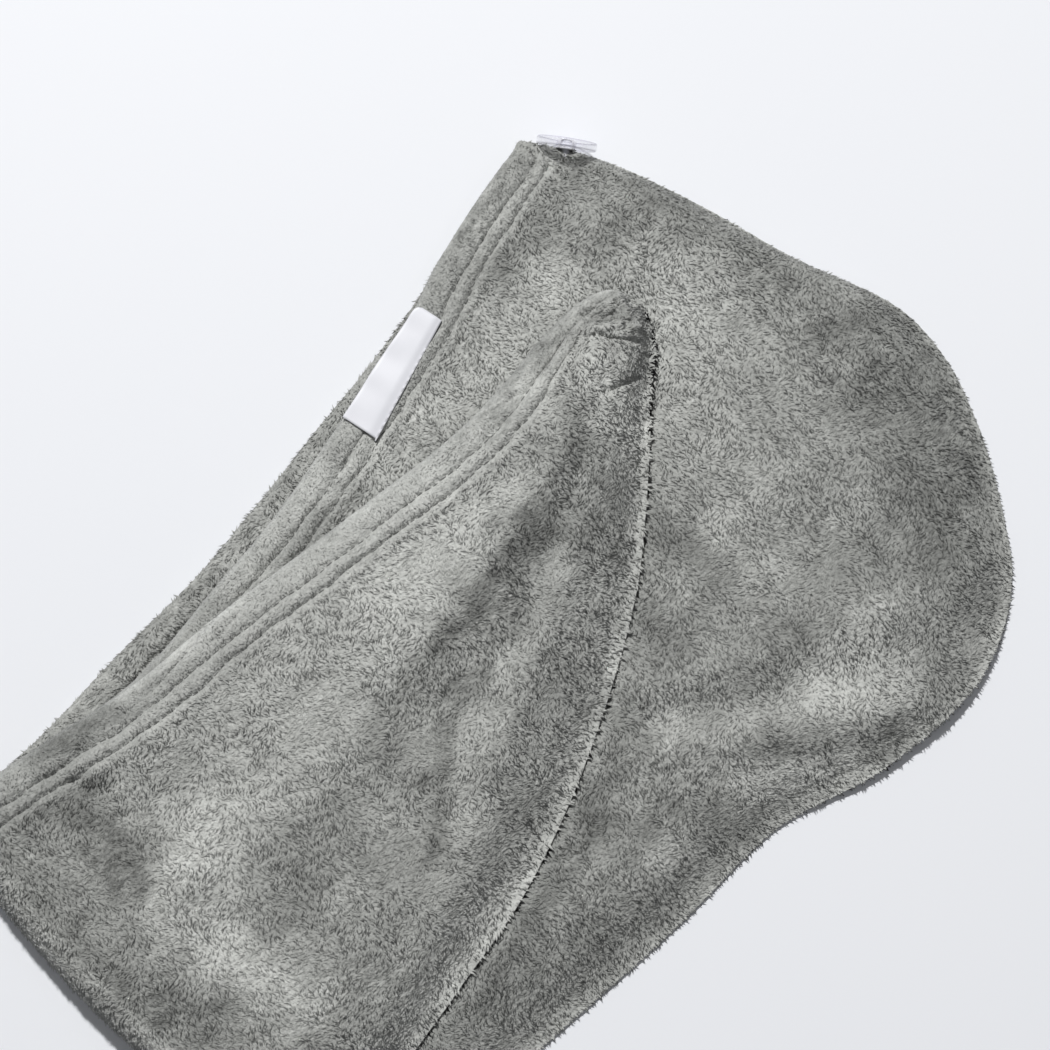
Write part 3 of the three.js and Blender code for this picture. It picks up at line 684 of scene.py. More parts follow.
def pile_headings(points, places, normals, hem, seam):
    """Which way the pile leans: as it was brushed, but out over the hem and the seam."""
    toward_seam = np.gradient(points, axis=1)
    toward_seam /= np.linalg.norm(toward_seam, axis=-1, keepdims=True)
    toward_seam = np.tile(toward_seam.reshape(-1, 3), (2, 1))
    heading = nap_heading(places)
    lean = seam_lean * smooth(1 - seam / combed_reach) - hem_lean * smooth(1 - hem / seam_edge)
    heading += toward_seam * lean[:, None]
    heading -= normals * np.sum(heading * normals, -1, keepdims=True)
    return heading / np.maximum(np.linalg.norm(heading, axis=-1, keepdims=True), 1e-6)


def pile_lengths(places, region, strip, hem, seam, fit):
    """How long the pile is: shorter on the sewn hem, in its grooves and at the hem's edge."""
    sway = rippled(places, groove_waves)
    from_groove = np.min([np.abs(hem / fit - groove - sway) for groove in hem_grooves], axis=0)
    in_hem = smooth((hem_band + 1 - hem / fit) / hem_edge) * ~strip
    beside_groove = smooth((from_groove - groove_floor) / groove_flank)
    length = (1 - hem_shortening * in_hem) * mix(low_pile, 1.0, beside_groove)
    fringe = np.where(region == on_hood, hood_fringe, tail_fringe)
    length *= mix(low_pile, 1.0, smooth(hem / hem_edge)) * mix(fringe, 1.0, smooth(seam / seam_edge))
    return np.where(strip, 1.0, length)


def pile_tones(places, region, seam):
    """How light the pile is: its strokes of brushing and painted shade, and a painted highlight along the
    rims and on the fold.
    """
    on_the_hood = region == on_hood
    tone = np.where(on_the_hood, brushed_and_shaded(hood_brushing_and_shade, places), brushed_and_shaded(tail_brushing_and_shade, places))
    hood_rim = hood_rim_painted_highlight * smooth(1 - seam / hood_rim_reach)
    tail_rim = tail_rim_painted_highlight * smooth(1 - seam / tail_rim_reach)
    return tone + (np.where(on_the_hood, hood_rim, tail_rim) + bend_painted_highlight * (region == on_bend))


def cloth_piece(name, outer):
    """One panel's cloth, with what its pile grows by, and the paths of its hem's stitches."""
    points, wall, from_hem, from_seam, stretch = panel_layout(outer)
    front, back, normal = sheet_sides(points, wall)
    stations, rows = wall.shape
    both = np.concatenate([front.reshape(-1, 3), back.reshape(-1, 3)])
    normals = np.concatenate([normal.reshape(-1, 3), -normal.reshape(-1, 3)])
    both[:, 2] += rippled(both[:, :2], lump_waves)
    both[:, 2] = np.maximum(both[:, 2], table_gap)
    piece = new_mesh(name, in_row(both), sheet_faces(stations, rows))
    region = np.tile(np.repeat(stretch, rows), 2)
    hem, seam = np.tile(from_hem.ravel(), 2), np.tile(from_seam.ravel(), 2)
    fit = np.minimum(1, (hem + seam) / (2 * (hem_band + seam_reach)))
    places = both[:, :2]
    seen_station = -1 if outer else 0
    front_outside = normal[seen_station, rows // 2, 2] > 0
    outside = np.repeat([front_outside, not front_outside], stations * rows)
    cover, strip = covered(both, outer, outside, region, hem, seam)
    for label, kind, values in (
        ("long", "FLOAT", pile_lengths(places, region, strip, hem, seam, fit)),
        ("tone", "FLOAT", pile_tones(places, region, seam)),
        ("nap", "FLOAT_VECTOR", pile_headings(points, places, normals, hem, seam)),
        ("lay", "FLOAT_VECTOR", normals),
        ("cover", "FLOAT", cover),
    ):
        store(piece.data, label, kind, values)
    face = front if front_outside else back
    from_hem = (hem / fit)[:stations * rows].reshape(stations, rows)
    return piece, [groove_path(face, from_hem, groove) for groove in hem_grooves]


class Value:
    """A shader socket that takes part in Python sums, each adding its own Math node."""

    def __init__(self, tree, socket):
        self.tree, self.socket = tree, socket

    def sum_with(self, operation, *others, clamp=False):
        node = self.tree.nodes.new("ShaderNodeMath")
        node.operation, node.use_clamp = operation, clamp
        for socket, value in zip(node.inputs, (self, *others)):
            put(self.tree, socket, value)
        return Value(self.tree, node.outputs[0])

    def __add__(self, other):
        return self.sum_with("ADD", other)

    def __sub__(self, other):
        return self.sum_with("SUBTRACT", other)

    def __mul__(self, other):
        return self.sum_with("MULTIPLY", other)

    def clamped(self):
        return self.sum_with("ADD", 0.0, clamp=True)


def put(tree, socket, value):
    """Links a socket to what a node gives, or sets it to a constant."""
    if isinstance(value, Value):
        value = value.socket
    if isinstance(value, bpy.types.NodeSocket):
        tree.links.new(value, socket)
    else:
        socket.default_value = value


def add_node(tree, kind, settings, inputs):
    """A node with its settings and inputs. The input called _0 is the one at place 0."""
    node = tree.nodes.new(kind)
    for key, value in (settings or {}).items():
        setattr(node, key, value)
    for key, value in inputs.items():
        socket = node.inputs[int(key[1:])] if key[0] == "_" else node.inputs[key.replace("_", " ")]
        put(tree, socket, value)
    return node


class Material:
    """A node material: one Principled shader, and a method that adds any other node."""

    def __init__(self, name, **constants):
        self.data = bpy.data.materials.new(name)
        self.data.use_nodes = True
        self.tree = self.data.node_tree
        self.shader = self.tree.nodes["Principled BSDF"]
        for key, value in constants.items():
            self.shader.inputs[key.replace("_", " ")].default_value = value

    def node(self, kind, settings=None, output=0, **inputs):
        return Value(self.tree, add_node(self.tree, kind, settings, inputs).outputs[output])

    def attribute(self, name, output="Fac"):
        return self.node("ShaderNodeAttribute", {"attribute_name": name}, output=output)

    def place(self):
        return self.node("ShaderNodeTexCoord", output="Object")

    def noise(self, where, scale, detail=2.0, roughness=0.5):
        return self.node("ShaderNodeTexNoise", Vector=where, Scale=scale, Detail=detail,
                         Roughness=roughness)

    def blend(self, amount, first, second):
        return self.node("ShaderNodeMix", {"data_type": "RGBA"}, output=2, _0=amount, _6=first,
                         _7=second)

    def feed(self, name, value):
        put(self.tree, self.shader.inputs[name], value)


def linear(red, green, blue):
    """A screen colour, 0 to 255, as the linear colour that a shader takes."""
    parts = [v / 255 for v in (red, green, blue)]
    return tuple(p / 12.92 if p <= 0.04045 else ((p + 0.055) / 1.055) ** 2.4 for p in parts) + (1.0,)


# The fleece's colour runs between these two greys; its darker side also carries painted shade and its
# lighter side painted highlights.
fleece_dark = linear(103, 104, 101)
fleece_light = linear(218, 219, 214)

grain_scale, grain_height, grain_strength = 640.0, 1.5 * mm, 0.75
fine_scale, fine_shade_contrast = 900.0, 0.6
tone_contrast, usual_tone = 0.26, 0.46
ridge_turn = math.radians(105)
ridge_scales = (430.0, 130.0, 430.0)
ridge_shade_contrast, ridge_patches = 0.75, 55.0
patch_middle, patch_edge = 0.48, 5.0


def fleece_tint(fleece, shade, under=None):
    """Colours fleece by its tone of brushing, painted shade and highlights, a fine painted shade between
    its fibres, and painted light and shade on ridges across the way it lies.
    """
    spot = fleece.place()
    # Painted light and shade: ridges across the way the pile lies are painted lighter and darker in
    # patches, as their slopes would be lit.
    turned = fleece.node("ShaderNodeVectorRotate", {"rotation_type": "Z_AXIS"}, Vector=spot,
                         Angle=ridge_turn)
    turned = fleece.node("ShaderNodeVectorMath", {"operation": "MULTIPLY"}, _0=turned, _1=ridge_scales)
    ridge_shade = fleece.noise(turned, 1.0, 1.0, 0.5) - 0.5
    patches = ((fleece.noise(spot, ridge_patches, 1.0, 0.5) - patch_middle) * patch_edge).clamped()
    # Painted shade: a fine noise paints the shade between the pile's fibres into the colour.
    fine = fleece.noise(spot, fine_scale, 2.0, 0.6) - 0.5
    share = fleece.attribute("tone") * tone_contrast + fine * fine_shade_contrast + shade
    share = (share + ridge_shade * patches * ridge_shade_contrast + usual_tone).clamped()
    fleece.feed("Base Color", fleece.blend(share, fleece_dark, fleece_light))
    grain = fleece.noise(spot, grain_scale, 2.0, 0.55)
    normal = {} if under is None else {"Normal": under}
    bump = fleece.node("ShaderNodeBump", Strength=grain_strength, Distance=grain_height, Height=grain,
                       **normal)
    fleece.feed("Normal", bump)


ground_fleece = Material("fleece_ground", Roughness=0.95, Sheen_Weight=0.25, Sheen_Roughness=0.6,
                         Specular_IOR_Level=0.15)
fleece_tint(ground_fleece, 0.0)

lower_cloth, lower_rows = cloth_piece("lower_panel_cloth", True)
upper_cloth, upper_rows = cloth_piece("upper_panel_cloth", False)
for cloth in (lower_cloth, upper_cloth):
    cloth.data.materials.append(ground_fleece.data)

# The pile
# Coral fleece stands up in soft locks about half a millimetre apart, leaning the way that it was
# last brushed. Each lock is a small pointed grain, scattered over the cloth that shows.
lock_spacing = 0.57 * mm
lock_length = 2.2 * mm
lock_width = 0.60
lock_depth = 0.34
lock_hook = 0.15
lock_lean = 0.5
lock_scatter = 0.5
lock_root = 0.22
shortest_lock, longest_lock = 0.65, 1.25
most_locks = 2.0e6
above_table = 0.15 * mm


def lock_shape():
    """One lock of pile: a grain with three sides and a foot, its tip a little to one side."""
    angle = 2 * math.pi * np.arange(3) / 3
    foot = np.stack([0.5 * lock_depth * np.cos(angle), 0.5 * lock_width * np.sin(angle),
                     np.full(3, -lock_root)], -1)
    points = np.concatenate([foot, [[-lock_hook, 0, 1 - lock_root]]])
    return new_mesh("lock_pattern", points, [(0, 2, 1), (3, 0, 1), (3, 1, 2), (3, 2, 0)])


class CopyTree:
    """A geometry node tree with named inputs, which ends in real copies of a pattern."""

    def __init__(self, name, numbers):
        self.tree = bpy.data.node_groups.new(name, "GeometryNodeTree")
        face = self.tree.interface
        face.new_socket("Geometry", in_out="OUTPUT", socket_type="NodeSocketGeometry")
        kinds = {"Geometry": "Geometry", "Pattern": "Object", **numbers, "Finish": "Material"}
        self.keys = {}
        for label, kind in kinds.items():
            socket = face.new_socket(label, in_out="INPUT", socket_type="NodeSocket" + kind)
            self.keys[label] = socket.identifier
        self.given = self.tree.nodes.new("NodeGroupInput").outputs

    def node(self, kind, settings=None, output=0, **inputs):
        return add_node(self.tree, kind, settings, inputs).outputs[output]

    def attribute(self, name, kind="FLOAT"):
        return self.node("GeometryNodeInputNamedAttribute", {"data_type": kind}, "Attribute", Name=name)

    def times(self, vector, number):
        return self.node("ShaderNodeVectorMath", {"operation": "SCALE"}, _0=vector, Scale=number)

    def between(self, low, high, seed=0):
        """A number for each point or copy, at random between two others."""
        return self.node("FunctionNodeRandomValue", {"data_type": "FLOAT"}, 1, _2=low, _3=high, Seed=seed)

    def copies(self, spots, turn, **size):
        pattern = self.node("GeometryNodeObjectInfo", None, "Geometry", Object=self.given["Pattern"])
        return self.node("GeometryNodeInstanceOnPoints", Points=spots, Instance=pattern,
                         Rotation=turn, **size)

    def finish(self, copies):
        """Makes the copies real, smooth and of their material, and gives them out."""
        real = self.node("GeometryNodeRealizeInstances", Geometry=copies)
        soft = self.node("GeometryNodeSetShadeSmooth", Geometry=real)
        coated = self.node("GeometryNodeSetMaterial", Geometry=soft, Material=self.given["Finish"])
        self.tree.links.new(coated, self.tree.nodes.new("NodeGroupOutput").inputs["Geometry"])


def pile_tree():
    """Locks scattered over cloth by its attributes: cover, nap and long."""
    pile = CopyTree("pile_locks", {"Spacing": "Float", "Length": "Float", "Lean": "Float",
                                   "Scatter": "Float", "Seed": "Int"})
    given = pile.given
    spots = pile.node("GeometryNodeDistributePointsOnFaces", {"distribute_method": "POISSON"},
                      Mesh=given["Geometry"], Distance_Min=given["Spacing"],
                      Density_Max=most_locks, Density_Factor=pile.attribute("cover"),
                      Seed=given["Seed"])
    normal = spots.node.outputs["Normal"]
    jitter = pile.node("FunctionNodeRandomValue", {"data_type": "FLOAT_VECTOR"},
                       _0=(-1.0, -1.0, -1.0), _1=(1.0, 1.0, 1.0))
    heading = pile.attribute("nap", "FLOAT_VECTOR")
    for part in (pile.times(normal, given["Lean"]), pile.times(jitter, given["Scatter"])):
        heading = pile.node("ShaderNodeVectorMath", {"operation": "ADD"}, _0=heading, _1=part)
    along = pile.node("FunctionNodeAlignRotationToVector", {"axis": "Z"}, Vector=heading)
    turned = pile.node("FunctionNodeAlignRotationToVector", {"axis": "X", "pivot_axis": "Z"},
                       Rotation=along, Vector=normal)
    size = pile.between(shortest_lock, longest_lock)
    for part in (given["Length"], pile.attribute("long")):
        size = pile.node("ShaderNodeMath", {"operation": "MULTIPLY"}, _0=size, _1=part)
    shaded = pile.node("GeometryNodeStoreNamedAttribute",
                       {"data_type": "FLOAT", "domain": "INSTANCE"},
                       Geometry=pile.copies(spots, turned, Scale=size), Name="shade",
                       Value=pile.between(0.0, 1.0, seed=7))
    pile.finish(shaded)
    return pile


def grown(name, source, making, **values):
    """What a node tree makes on a piece, as a plain mesh of its own."""
    modifier = source.modifiers.new(name, "NODES")
    modifier.node_group = making.tree
    for label, value in values.items():
        modifier[making.keys[label]] = value
    bpy.context.view_layer.update()
    evaluated = source.evaluated_get(bpy.context.evaluated_depsgraph_get())
    mesh = bpy.data.meshes.new_from_object(evaluated)
    mesh.name = name
    source.modifiers.remove(modifier)
    return placed(name, mesh)


pile_fleece = Material("fleece_pile", Roughness=0.9, Sheen_Weight=0.35, Sheen_Roughness=0.5,
                       Specular_IOR_Level=0.2)
lay_share, lock_shade = 2.0, 0.10
pile_lay = pile_fleece.node("ShaderNodeVectorMath", {"operation": "SCALE"}, Scale=lay_share,
                            _0=pile_fleece.attribute("lay", "Vector"))
pile_normal = pile_fleece.node("ShaderNodeVectorMath", {"operation": "ADD"}, _0=pile_lay,
                               _1=pile_fleece.node("ShaderNodeNewGeometry", output="Normal"))
pile_normal = pile_fleece.node("ShaderNodeVectorMath", {"operation": "NORMALIZE"}, _0=pile_normal)
fleece_tint(pile_fleece, pile_fleece.attribute("shade") * lock_shade - lock_shade / 2, pile_normal)

pattern = lock_shape()
locks = pile_tree()


def pile_on(cloth, name, seed, low, high):
    """The pile of the cloth whose X lies from one place up to another."""
    mesh = cloth.data
    cover = mesh.attributes["cover"]
    everywhere = np.empty(len(mesh.vertices), np.float32)
    cover.data.foreach_get("value", everywhere)
    points = np.empty(len(mesh.vertices) * 3, np.float32)
    mesh.vertices.foreach_get("co", points)
    along = points[::3]
    cover.data.foreach_set("value", everywhere * ((along >= low) & (along < high)))
    mesh.update()
    piece = grown(name, cloth, locks, Pattern=pattern, Spacing=lock_spacing, Length=lock_length,
                  Lean=lock_lean, Scatter=lock_scatter, Seed=seed, Finish=pile_fleece.data)
    mesh.attributes["cover"].data.foreach_set("value", everywhere)
    for spare in ("cover", "nap", "long"):
        piece.data.attributes.remove(piece.data.attributes[spare])
    grown_points = np.empty(len(piece.data.vertices) * 3, np.float32)
    piece.data.vertices.foreach_get("co", grown_points)
    grown_points[2::3] = np.maximum(grown_points[2::3], above_table)
    piece.data.vertices.foreach_set("co", grown_points)
    return piece


# The pile of each panel is grown in three stretches. Their ends are places along X, in metres.
upper_stretches = (-1.0, 0.04, 0.11, 1.0)
lower_stretches = (-1.0, -0.11, -0.03, 1.0)
piles = []
for panel, cloth, ends, seed in (("upper_panel", upper_cloth, upper_stretches, 11),
                                 ("lower_panel", lower_cloth, lower_stretches, 21)):
    for k, (low, high) in enumerate(zip(ends[:-1], ends[1:])):
        piles.append(pile_on(cloth, f"{panel}_pile_{k + 1}", seed + k, low, high))
bpy.data.objects.remove(pattern)

for panel, cloth, other_panel in (("lower_panel", lower_cloth, "upper_panel"),
                                  ("upper_panel", upper_cloth, "lower_panel")):
    own = [pile for pile in piles if pile.name.startswith(panel)]
    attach(cloth, "root")
    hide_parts(panel)
    for pile in own:
        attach(pile, "root")

# The hem stitches
# A twin needle sews each hem down in two rows with thread in the fleece's own grey. The
# stitches sink into the pile, in a groove each.
stitch_pitch = 3.3 * mm
stitch_length, stitch_width = 2.5, 0.55
stitch_dip, stitch_end = 0.35, 0.08
# The thread's hollows are painted darker by this share, as painted shade.
thread_relief, thread_hollow_shade = 0.1 * mm, 0.86


def tube(path, radius, sides, closed=False, upright=None):
    """Points and faces of a cord along a path, with its ends closed."""
    path = np.asarray(path, float)
    ahead = np.roll(path, -1, 0) - np.roll(path, 1, 0) if closed else np.gradient(path, axis=0)
    ahead /= np.linalg.norm(ahead, axis=1, keepdims=True)
    aside = np.cross(ahead[0], np.array([0.31, 0.53, 0.79]))
    asides = []
    for heading in ahead:
        aside = np.cross(upright, heading) if upright is not None else aside - heading * (aside @ heading)
        aside = aside / np.linalg.norm(aside)
        asides.append(aside)
    asides = np.array(asides)
    ups = np.cross(ahead, asides)
    angle = np.linspace(0, 2 * math.pi, sides, endpoint=False)
    across = np.cos(angle)[None, :, None] * asides[:, None] + np.sin(angle)[None, :, None] * ups[:, None]
    wide = np.broadcast_to(radius, (len(path), sides))[..., None]
    points = (path[:, None] + across * wide).reshape(-1, 3)
    rings = len(path)
    faces = []
    for ring in range(rings if closed else rings - 1):
        here, there = ring * sides, (ring + 1) % rings * sides
        faces += [(here + k, here + (k + 1) % sides, there + (k + 1) % sides, there + k)
                  for k in range(sides)]
    if not closed:
        faces += [tuple(range(sides))[::-1], tuple(range((rings - 1) * sides, rings * sides))]
    return points, faces


def joined(parts):
    """Several meshes' points and faces as one."""
    start, faces = 0, []
    for points, own in parts:
        faces += [[start + k for k in face] for face in own]
        start += len(points)
    return np.concatenate([points for points, _ in parts]), faces


def stitch_shape(name, length, width):
    """One stitch: a short thread whose ends dip into the cloth."""
    reach = np.linspace(-1, 1, 9)
    path = np.stack([reach * length / 2, 0 * reach, -stitch_dip * width * reach ** 4], -1) * mm
    radius = width / 2 * np.sqrt(np.maximum(1 - reach ** 6, stitch_end)) * mm
    points, faces = tube(path, radius[:, None], 6)
    return new_mesh(name, points, faces)


def stitch_tree():
    """Stitches at one pitch along a path, each turned to run with it."""
    sewing = CopyTree("stitches", {"Pitch": "Float"})
    curve = sewing.node("GeometryNodeMeshToCurve", Mesh=sewing.given["Geometry"])
    spaced = sewing.node("GeometryNodeResampleCurve", {"mode": "LENGTH"}, Curve=curve,
                         Length=sewing.given["Pitch"])
    tangent = sewing.node("GeometryNodeInputTangent")
    turned = sewing.node("FunctionNodeAlignRotationToVector", {"axis": "X"}, Vector=tangent)
    sewing.finish(sewing.copies(spaced, turned))
    return sewing


stitching = stitch_tree()


def sewn(name, paths, shape, pitch, finish):
    """Rows of stitches along paths, as one plain mesh."""
    points, edges = [], []
    for path in paths:
        first = len(points)
        points += in_row(path).tolist()
        edges += [(k, k + 1) for k in range(first, len(points) - 1)]
    mesh = bpy.data.meshes.new("stitch_path")
    mesh.from_pydata(points, edges, [])
    guide = placed("stitch_path", mesh)
    piece = grown(name, guide, stitching, Pattern=shape, Pitch=pitch, Finish=finish)
    bpy.data.objects.remove(guide)
    return piece


def thread_finish(name, colour, twist):
    """Twisted thread of one colour, painted darker in the hollows of its twist as shade."""
    thread = Material(name, Roughness=0.75, Sheen_Weight=0.3, Specular_IOR_Level=0.3)
    grain = thread.noise(thread.place(), twist, 2.0, 0.6)
    hollow_shade = linear(*(thread_hollow_shade * part for part in colour))
    thread.feed("Base Color", thread.blend(grain, hollow_shade, linear(*colour)))
    thread.feed("Normal", thread.node("ShaderNodeBump", Strength=0.5, Distance=thread_relief,
                                      Height=grain))
    return thread.data


grey_thread = thread_finish("hem_thread", (118, 119, 116), 3000.0)
hem_stitch = stitch_shape("hem_stitch", stitch_length, stitch_width)
for panel, rows in (("lower", lower_rows), ("upper", upper_rows)):
    stitches = sewn(f"{panel}_hem_stitches", rows, hem_stitch, stitch_pitch, grey_thread)
    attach(stitches, "root")
bpy.data.objects.remove(hem_stitch)

# The label
# A white satin ribbon folded double, its fold towards the hem's edge. White stitches along its
# inner edge hold it on the hood's hem. Its face is left bare.
ply_wall = 0.3
ply_gap = 0.35
label_level = 1.55
label_press = 0.7
corner_round, corner_cut = 3.2, 0.75
edge_wave, edge_wave_count = 0.15, 9
inner_sag, inner_sag_count, inner_sag_start = 0.22, 11, 1.3
outer_sag, outer_sag_count, outer_sag_start = 0.16, 23, 0.4
press_start, press_run = 0.72, 0.28
rib_relief = 0.05 * mm
label_stitch_length, label_stitch_width, label_stitch_pitch = 1.9, 0.6, 2.9 * mm
sewn_from, stitch_inset, stitch_rise = 0.26, 0.25, 0.24
long_steps, ply_steps, fold_steps = 60, 16, 7


def label_layout():
    """Middle points of the ribbon, from the lower ply's inner edge round the fold to the upper's."""
    share = np.linspace(0, 1, long_steps)[:, None]
    width = mix(label_narrow, label_wide, share)
    turn_radius = (ply_gap + ply_wall) / 2
    near_end = np.maximum(0, 1 - share * label_length / corner_round)
    outer = label_inset + turn_radius
    outer = outer + corner_round * corner_cut * (1 - np.sqrt(1 - near_end ** 2))
    outer = outer + edge_wave * np.sin(share * edge_wave_count)
    inner = label_inset + width
    plies = np.linspace(1, 0, ply_steps)[None]
    turn = np.linspace(0, math.pi, fold_steps + 2)[None, 1:-1]
    lower = mix(outer, inner, plies)
    depth = np.hstack([lower, outer - turn_radius * np.sin(turn), lower[:, ::-1]])
    rise = np.hstack([0 * lower - turn_radius, 0 * outer - turn_radius * np.cos(turn),
                      0 * lower + turn_radius])
    spots = label_edges[1] + (share[..., None] - 0.5) * label_length * label_along
    spots = spots + depth[..., None] * label_inward
    across = (depth - outer) / (inner - outer)
    sag = inner_sag * np.sin(share * inner_sag_count + inner_sag_start) * across
    sag = sag + outer_sag * np.sin(share * outer_sag_count + outer_sag_start) * (1 - across)
    level = hood_top + label_level + rise + sag
    level = level - label_press * smooth((across - press_start) / press_run)
    return np.concatenate([spots, level[..., None]], -1), share * label_length, depth


label_points, label_down, label_depth = label_layout()
label_front, label_back, _ = sheet_sides(label_points, np.full(label_points.shape[:2], ply_wall))
label_both = np.concatenate([label_front.reshape(-1, 3), label_back.reshape(-1, 3)])
label = new_mesh("label_ribbon", in_row(label_both), sheet_faces(*label_points.shape[:2]))
laid = np.stack([label_down + 0 * label_depth, label_depth, 0 * label_depth], -1).reshape(-1, 3) * mm
store(label.data, "laid", "FLOAT_VECTOR", np.tile(laid, (2, 1)))

satin = Material("white_satin", Roughness=0.38, Sheen_Weight=0.15, Specular_IOR_Level=0.45)
satin_place = satin.attribute("laid", "Vector")
satin_rib = satin.node("ShaderNodeTexWave", {"bands_direction": "X"}, Vector=satin_place, Scale=700.0,
                       Distortion=0.6)
satin_cloud = satin.noise(satin_place, 120.0)
satin.feed("Base Color", satin.blend(satin_cloud, linear(226, 227, 232), linear(236, 236, 241)))
satin.feed("Normal", satin.node("ShaderNodeBump", Strength=0.35, Distance=rib_relief, Height=satin_rib))
label.data.materials.append(satin.data)
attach(label, "root")
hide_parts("label")

white_thread = thread_finish("white_thread", (236, 236, 240), 3000.0)
label_stitch = stitch_shape("label_stitch", label_stitch_length, label_stitch_width)
edge_row = label_points[int(sewn_from * long_steps):, -1]
edge_row = edge_row + np.array([*(-stitch_inset * label_inward), stitch_rise])
label_stitches = sewn("label_stitches", [edge_row], label_stitch, label_stitch_pitch, white_thread)
bpy.data.objects.remove(label_stitch)
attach(label_stitches, "root")

# The button
# A clear plastic button with four holes, moulded with a raised rim. It stands on edge at the
# hood's corner, leaning a little over the seam that it's sewn to.
button_radius, button_half = 11.0, 1.5
rim_width, dish_depth = 2.4, 0.7
rim_round = 0.75
rim_slope_start, rim_slope = 0.7, 1.1
face_ring = 4.5
edge_inset, edge_spread = 0.5, 0.9
face_alpha, edge_alpha = 0.1, 0.5
hole_radius, hole_spread = 1.1, 5.0
button_tilt = math.radians(10)
button_stand_off = -0.3
button_above_table = 0.3
button_station, station_step = 0.028, 0.01
button_crease = math.radians(32)

corner_lines = hood_lines([button_station - station_step, button_station,
                           button_station + station_step])
corner_run = corner_lines.seam[2] - corner_lines.seam[0]
outward_angle = math.atan2(-corner_run[0], corner_run[1])
if math.cos(outward_angle) < 0:
    outward_angle += math.pi
button_outward = np.array([math.cos(outward_angle), math.sin(outward_angle)])
button_turn = outward_angle - math.pi / 2
button_centre = np.array([*(corner_lines.seam[1] + button_outward * (button_stand_off + button_half)),
                          button_radius + button_above_table])


def beside_seam(points):
    """Points from the button's own frame, whose Y is its axis away from the cloth, to the plan."""
    x, y, z = np.asarray(points, float).T
    y, z = (y * math.cos(button_tilt) - z * math.sin(button_tilt),
            y * math.sin(button_tilt) + z * math.cos(button_tilt))
    x, y = (x * math.cos(button_turn) - y * math.sin(button_turn),
            x * math.sin(button_turn) + y * math.cos(button_turn))
    return np.stack([x, y, z], -1) + button_centre


def turned_shape(profile, segments):
    """Points and faces of a profile of radius and height turned about Y, with closed poles."""
    angle = np.linspace(0, 2 * math.pi, segments, endpoint=False)
    rings = [np.stack([r * np.cos(angle), np.full(segments, y), r * np.sin(angle)], -1)
             for r, y in profile[1:-1]]
    points = np.concatenate([[[0, profile[0][1], 0]], *rings, [[0, profile[-1][1], 0]]])
    last = len(points) - 1
    faces = []
    for k in range(segments):
        after = (k + 1) % segments
        faces.append((0, 1 + k, 1 + after))
        for ring in range(len(rings) - 1):
            here, there = 1 + ring * segments, 1 + (ring + 1) * segments
            faces.append((here + k, there + k, there + after, here + after))
        top = 1 + (len(rings) - 1) * segments
        faces.append((top + after, top + k, last))
    return points, faces


def button_profile():
    """The button's section from its back to its dished front, as radius and height."""
    bend = np.linspace(0, math.pi / 2, 6)
    low = [(button_radius - rim_round + rim_round * math.sin(a),
            -button_half + rim_round - rim_round * math.cos(a)) for a in bend]
    high = [(r, -y) for r, y in reversed(low)]
    floor = button_half - dish_depth
    inner = [(button_radius - rim_width + rim_slope_start - rim_slope * s,
              button_half - dish_depth * smooth(s)) for s in np.linspace(0, 1, 7)]
    return [(0, -button_half), (face_ring, -button_half), *low, (button_radius, 0.0), *high, *inner,
            (face_ring, floor), (0, floor)]


hole_places = [(x * hole_spread / 2, z * hole_spread / 2) for x in (-1, 1) for z in (-1, 1)]
button_points, button_faces = turned_shape(button_profile(), 96)
button = new_mesh("button_disc", in_row(beside_seam(button_points)), button_faces)
drill_parts = []
for x, z in hole_places:
    path = np.array([[x, y, z] for y in np.linspace(-2 * button_half, 2 * button_half, 3)])
    drill_parts.append(tube(path, hole_radius, 24))
drill_points, drill_faces = joined(drill_parts)
drill = new_mesh("button_drill", in_row(beside_seam(drill_points)), drill_faces)
cut = button.modifiers.new("holes", "BOOLEAN")
cut.object, cut.operation, cut.solver = drill, "DIFFERENCE", "EXACT"
bpy.context.view_layer.update()
drilled = bpy.data.meshes.new_from_object(button.evaluated_get(bpy.context.evaluated_depsgraph_get()))
button.modifiers.remove(cut)
button.data = drilled
bpy.data.objects.remove(drill)
drilled.set_sharp_from_angle(angle=button_crease)
button_spots = np.array([tuple(vertex.co) for vertex in drilled.vertices]) / mm
button_spots = button_spots - in_row(button_centre) / mm
button_axis = (beside_seam([[0, 1, 0]]) - beside_seam([[0, 0, 0]]))[0]
button_level = button_spots @ button_axis
button_reach = np.linalg.norm(button_spots - button_level[:, None] * button_axis, axis=1)
# Painted shade: the clear button's rim is painted a darker lilac and made less clear, for the dark
# outline that light bending at its edge gives.
rim_painted_shade = (np.abs(button_level) / button_half) ** 2
rim_painted_shade *= np.exp(-((button_reach - button_radius + edge_inset) / edge_spread) ** 2)
store(drilled, "rim", "FLOAT", rim_painted_shade)
clear_plastic = Material("clear_plastic", Roughness=0.12, IOR=1.49, Specular_IOR_Level=0.7)
rim = clear_plastic.attribute("rim")
clear_plastic.feed("Base Color", clear_plastic.blend(rim, linear(226, 224, 240), linear(158, 154, 182)))
clear_plastic.feed("Alpha", rim * edge_alpha + face_alpha)
drilled.materials.clear()
drilled.materials.append(clear_plastic.data)
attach(button, "root")
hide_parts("button")

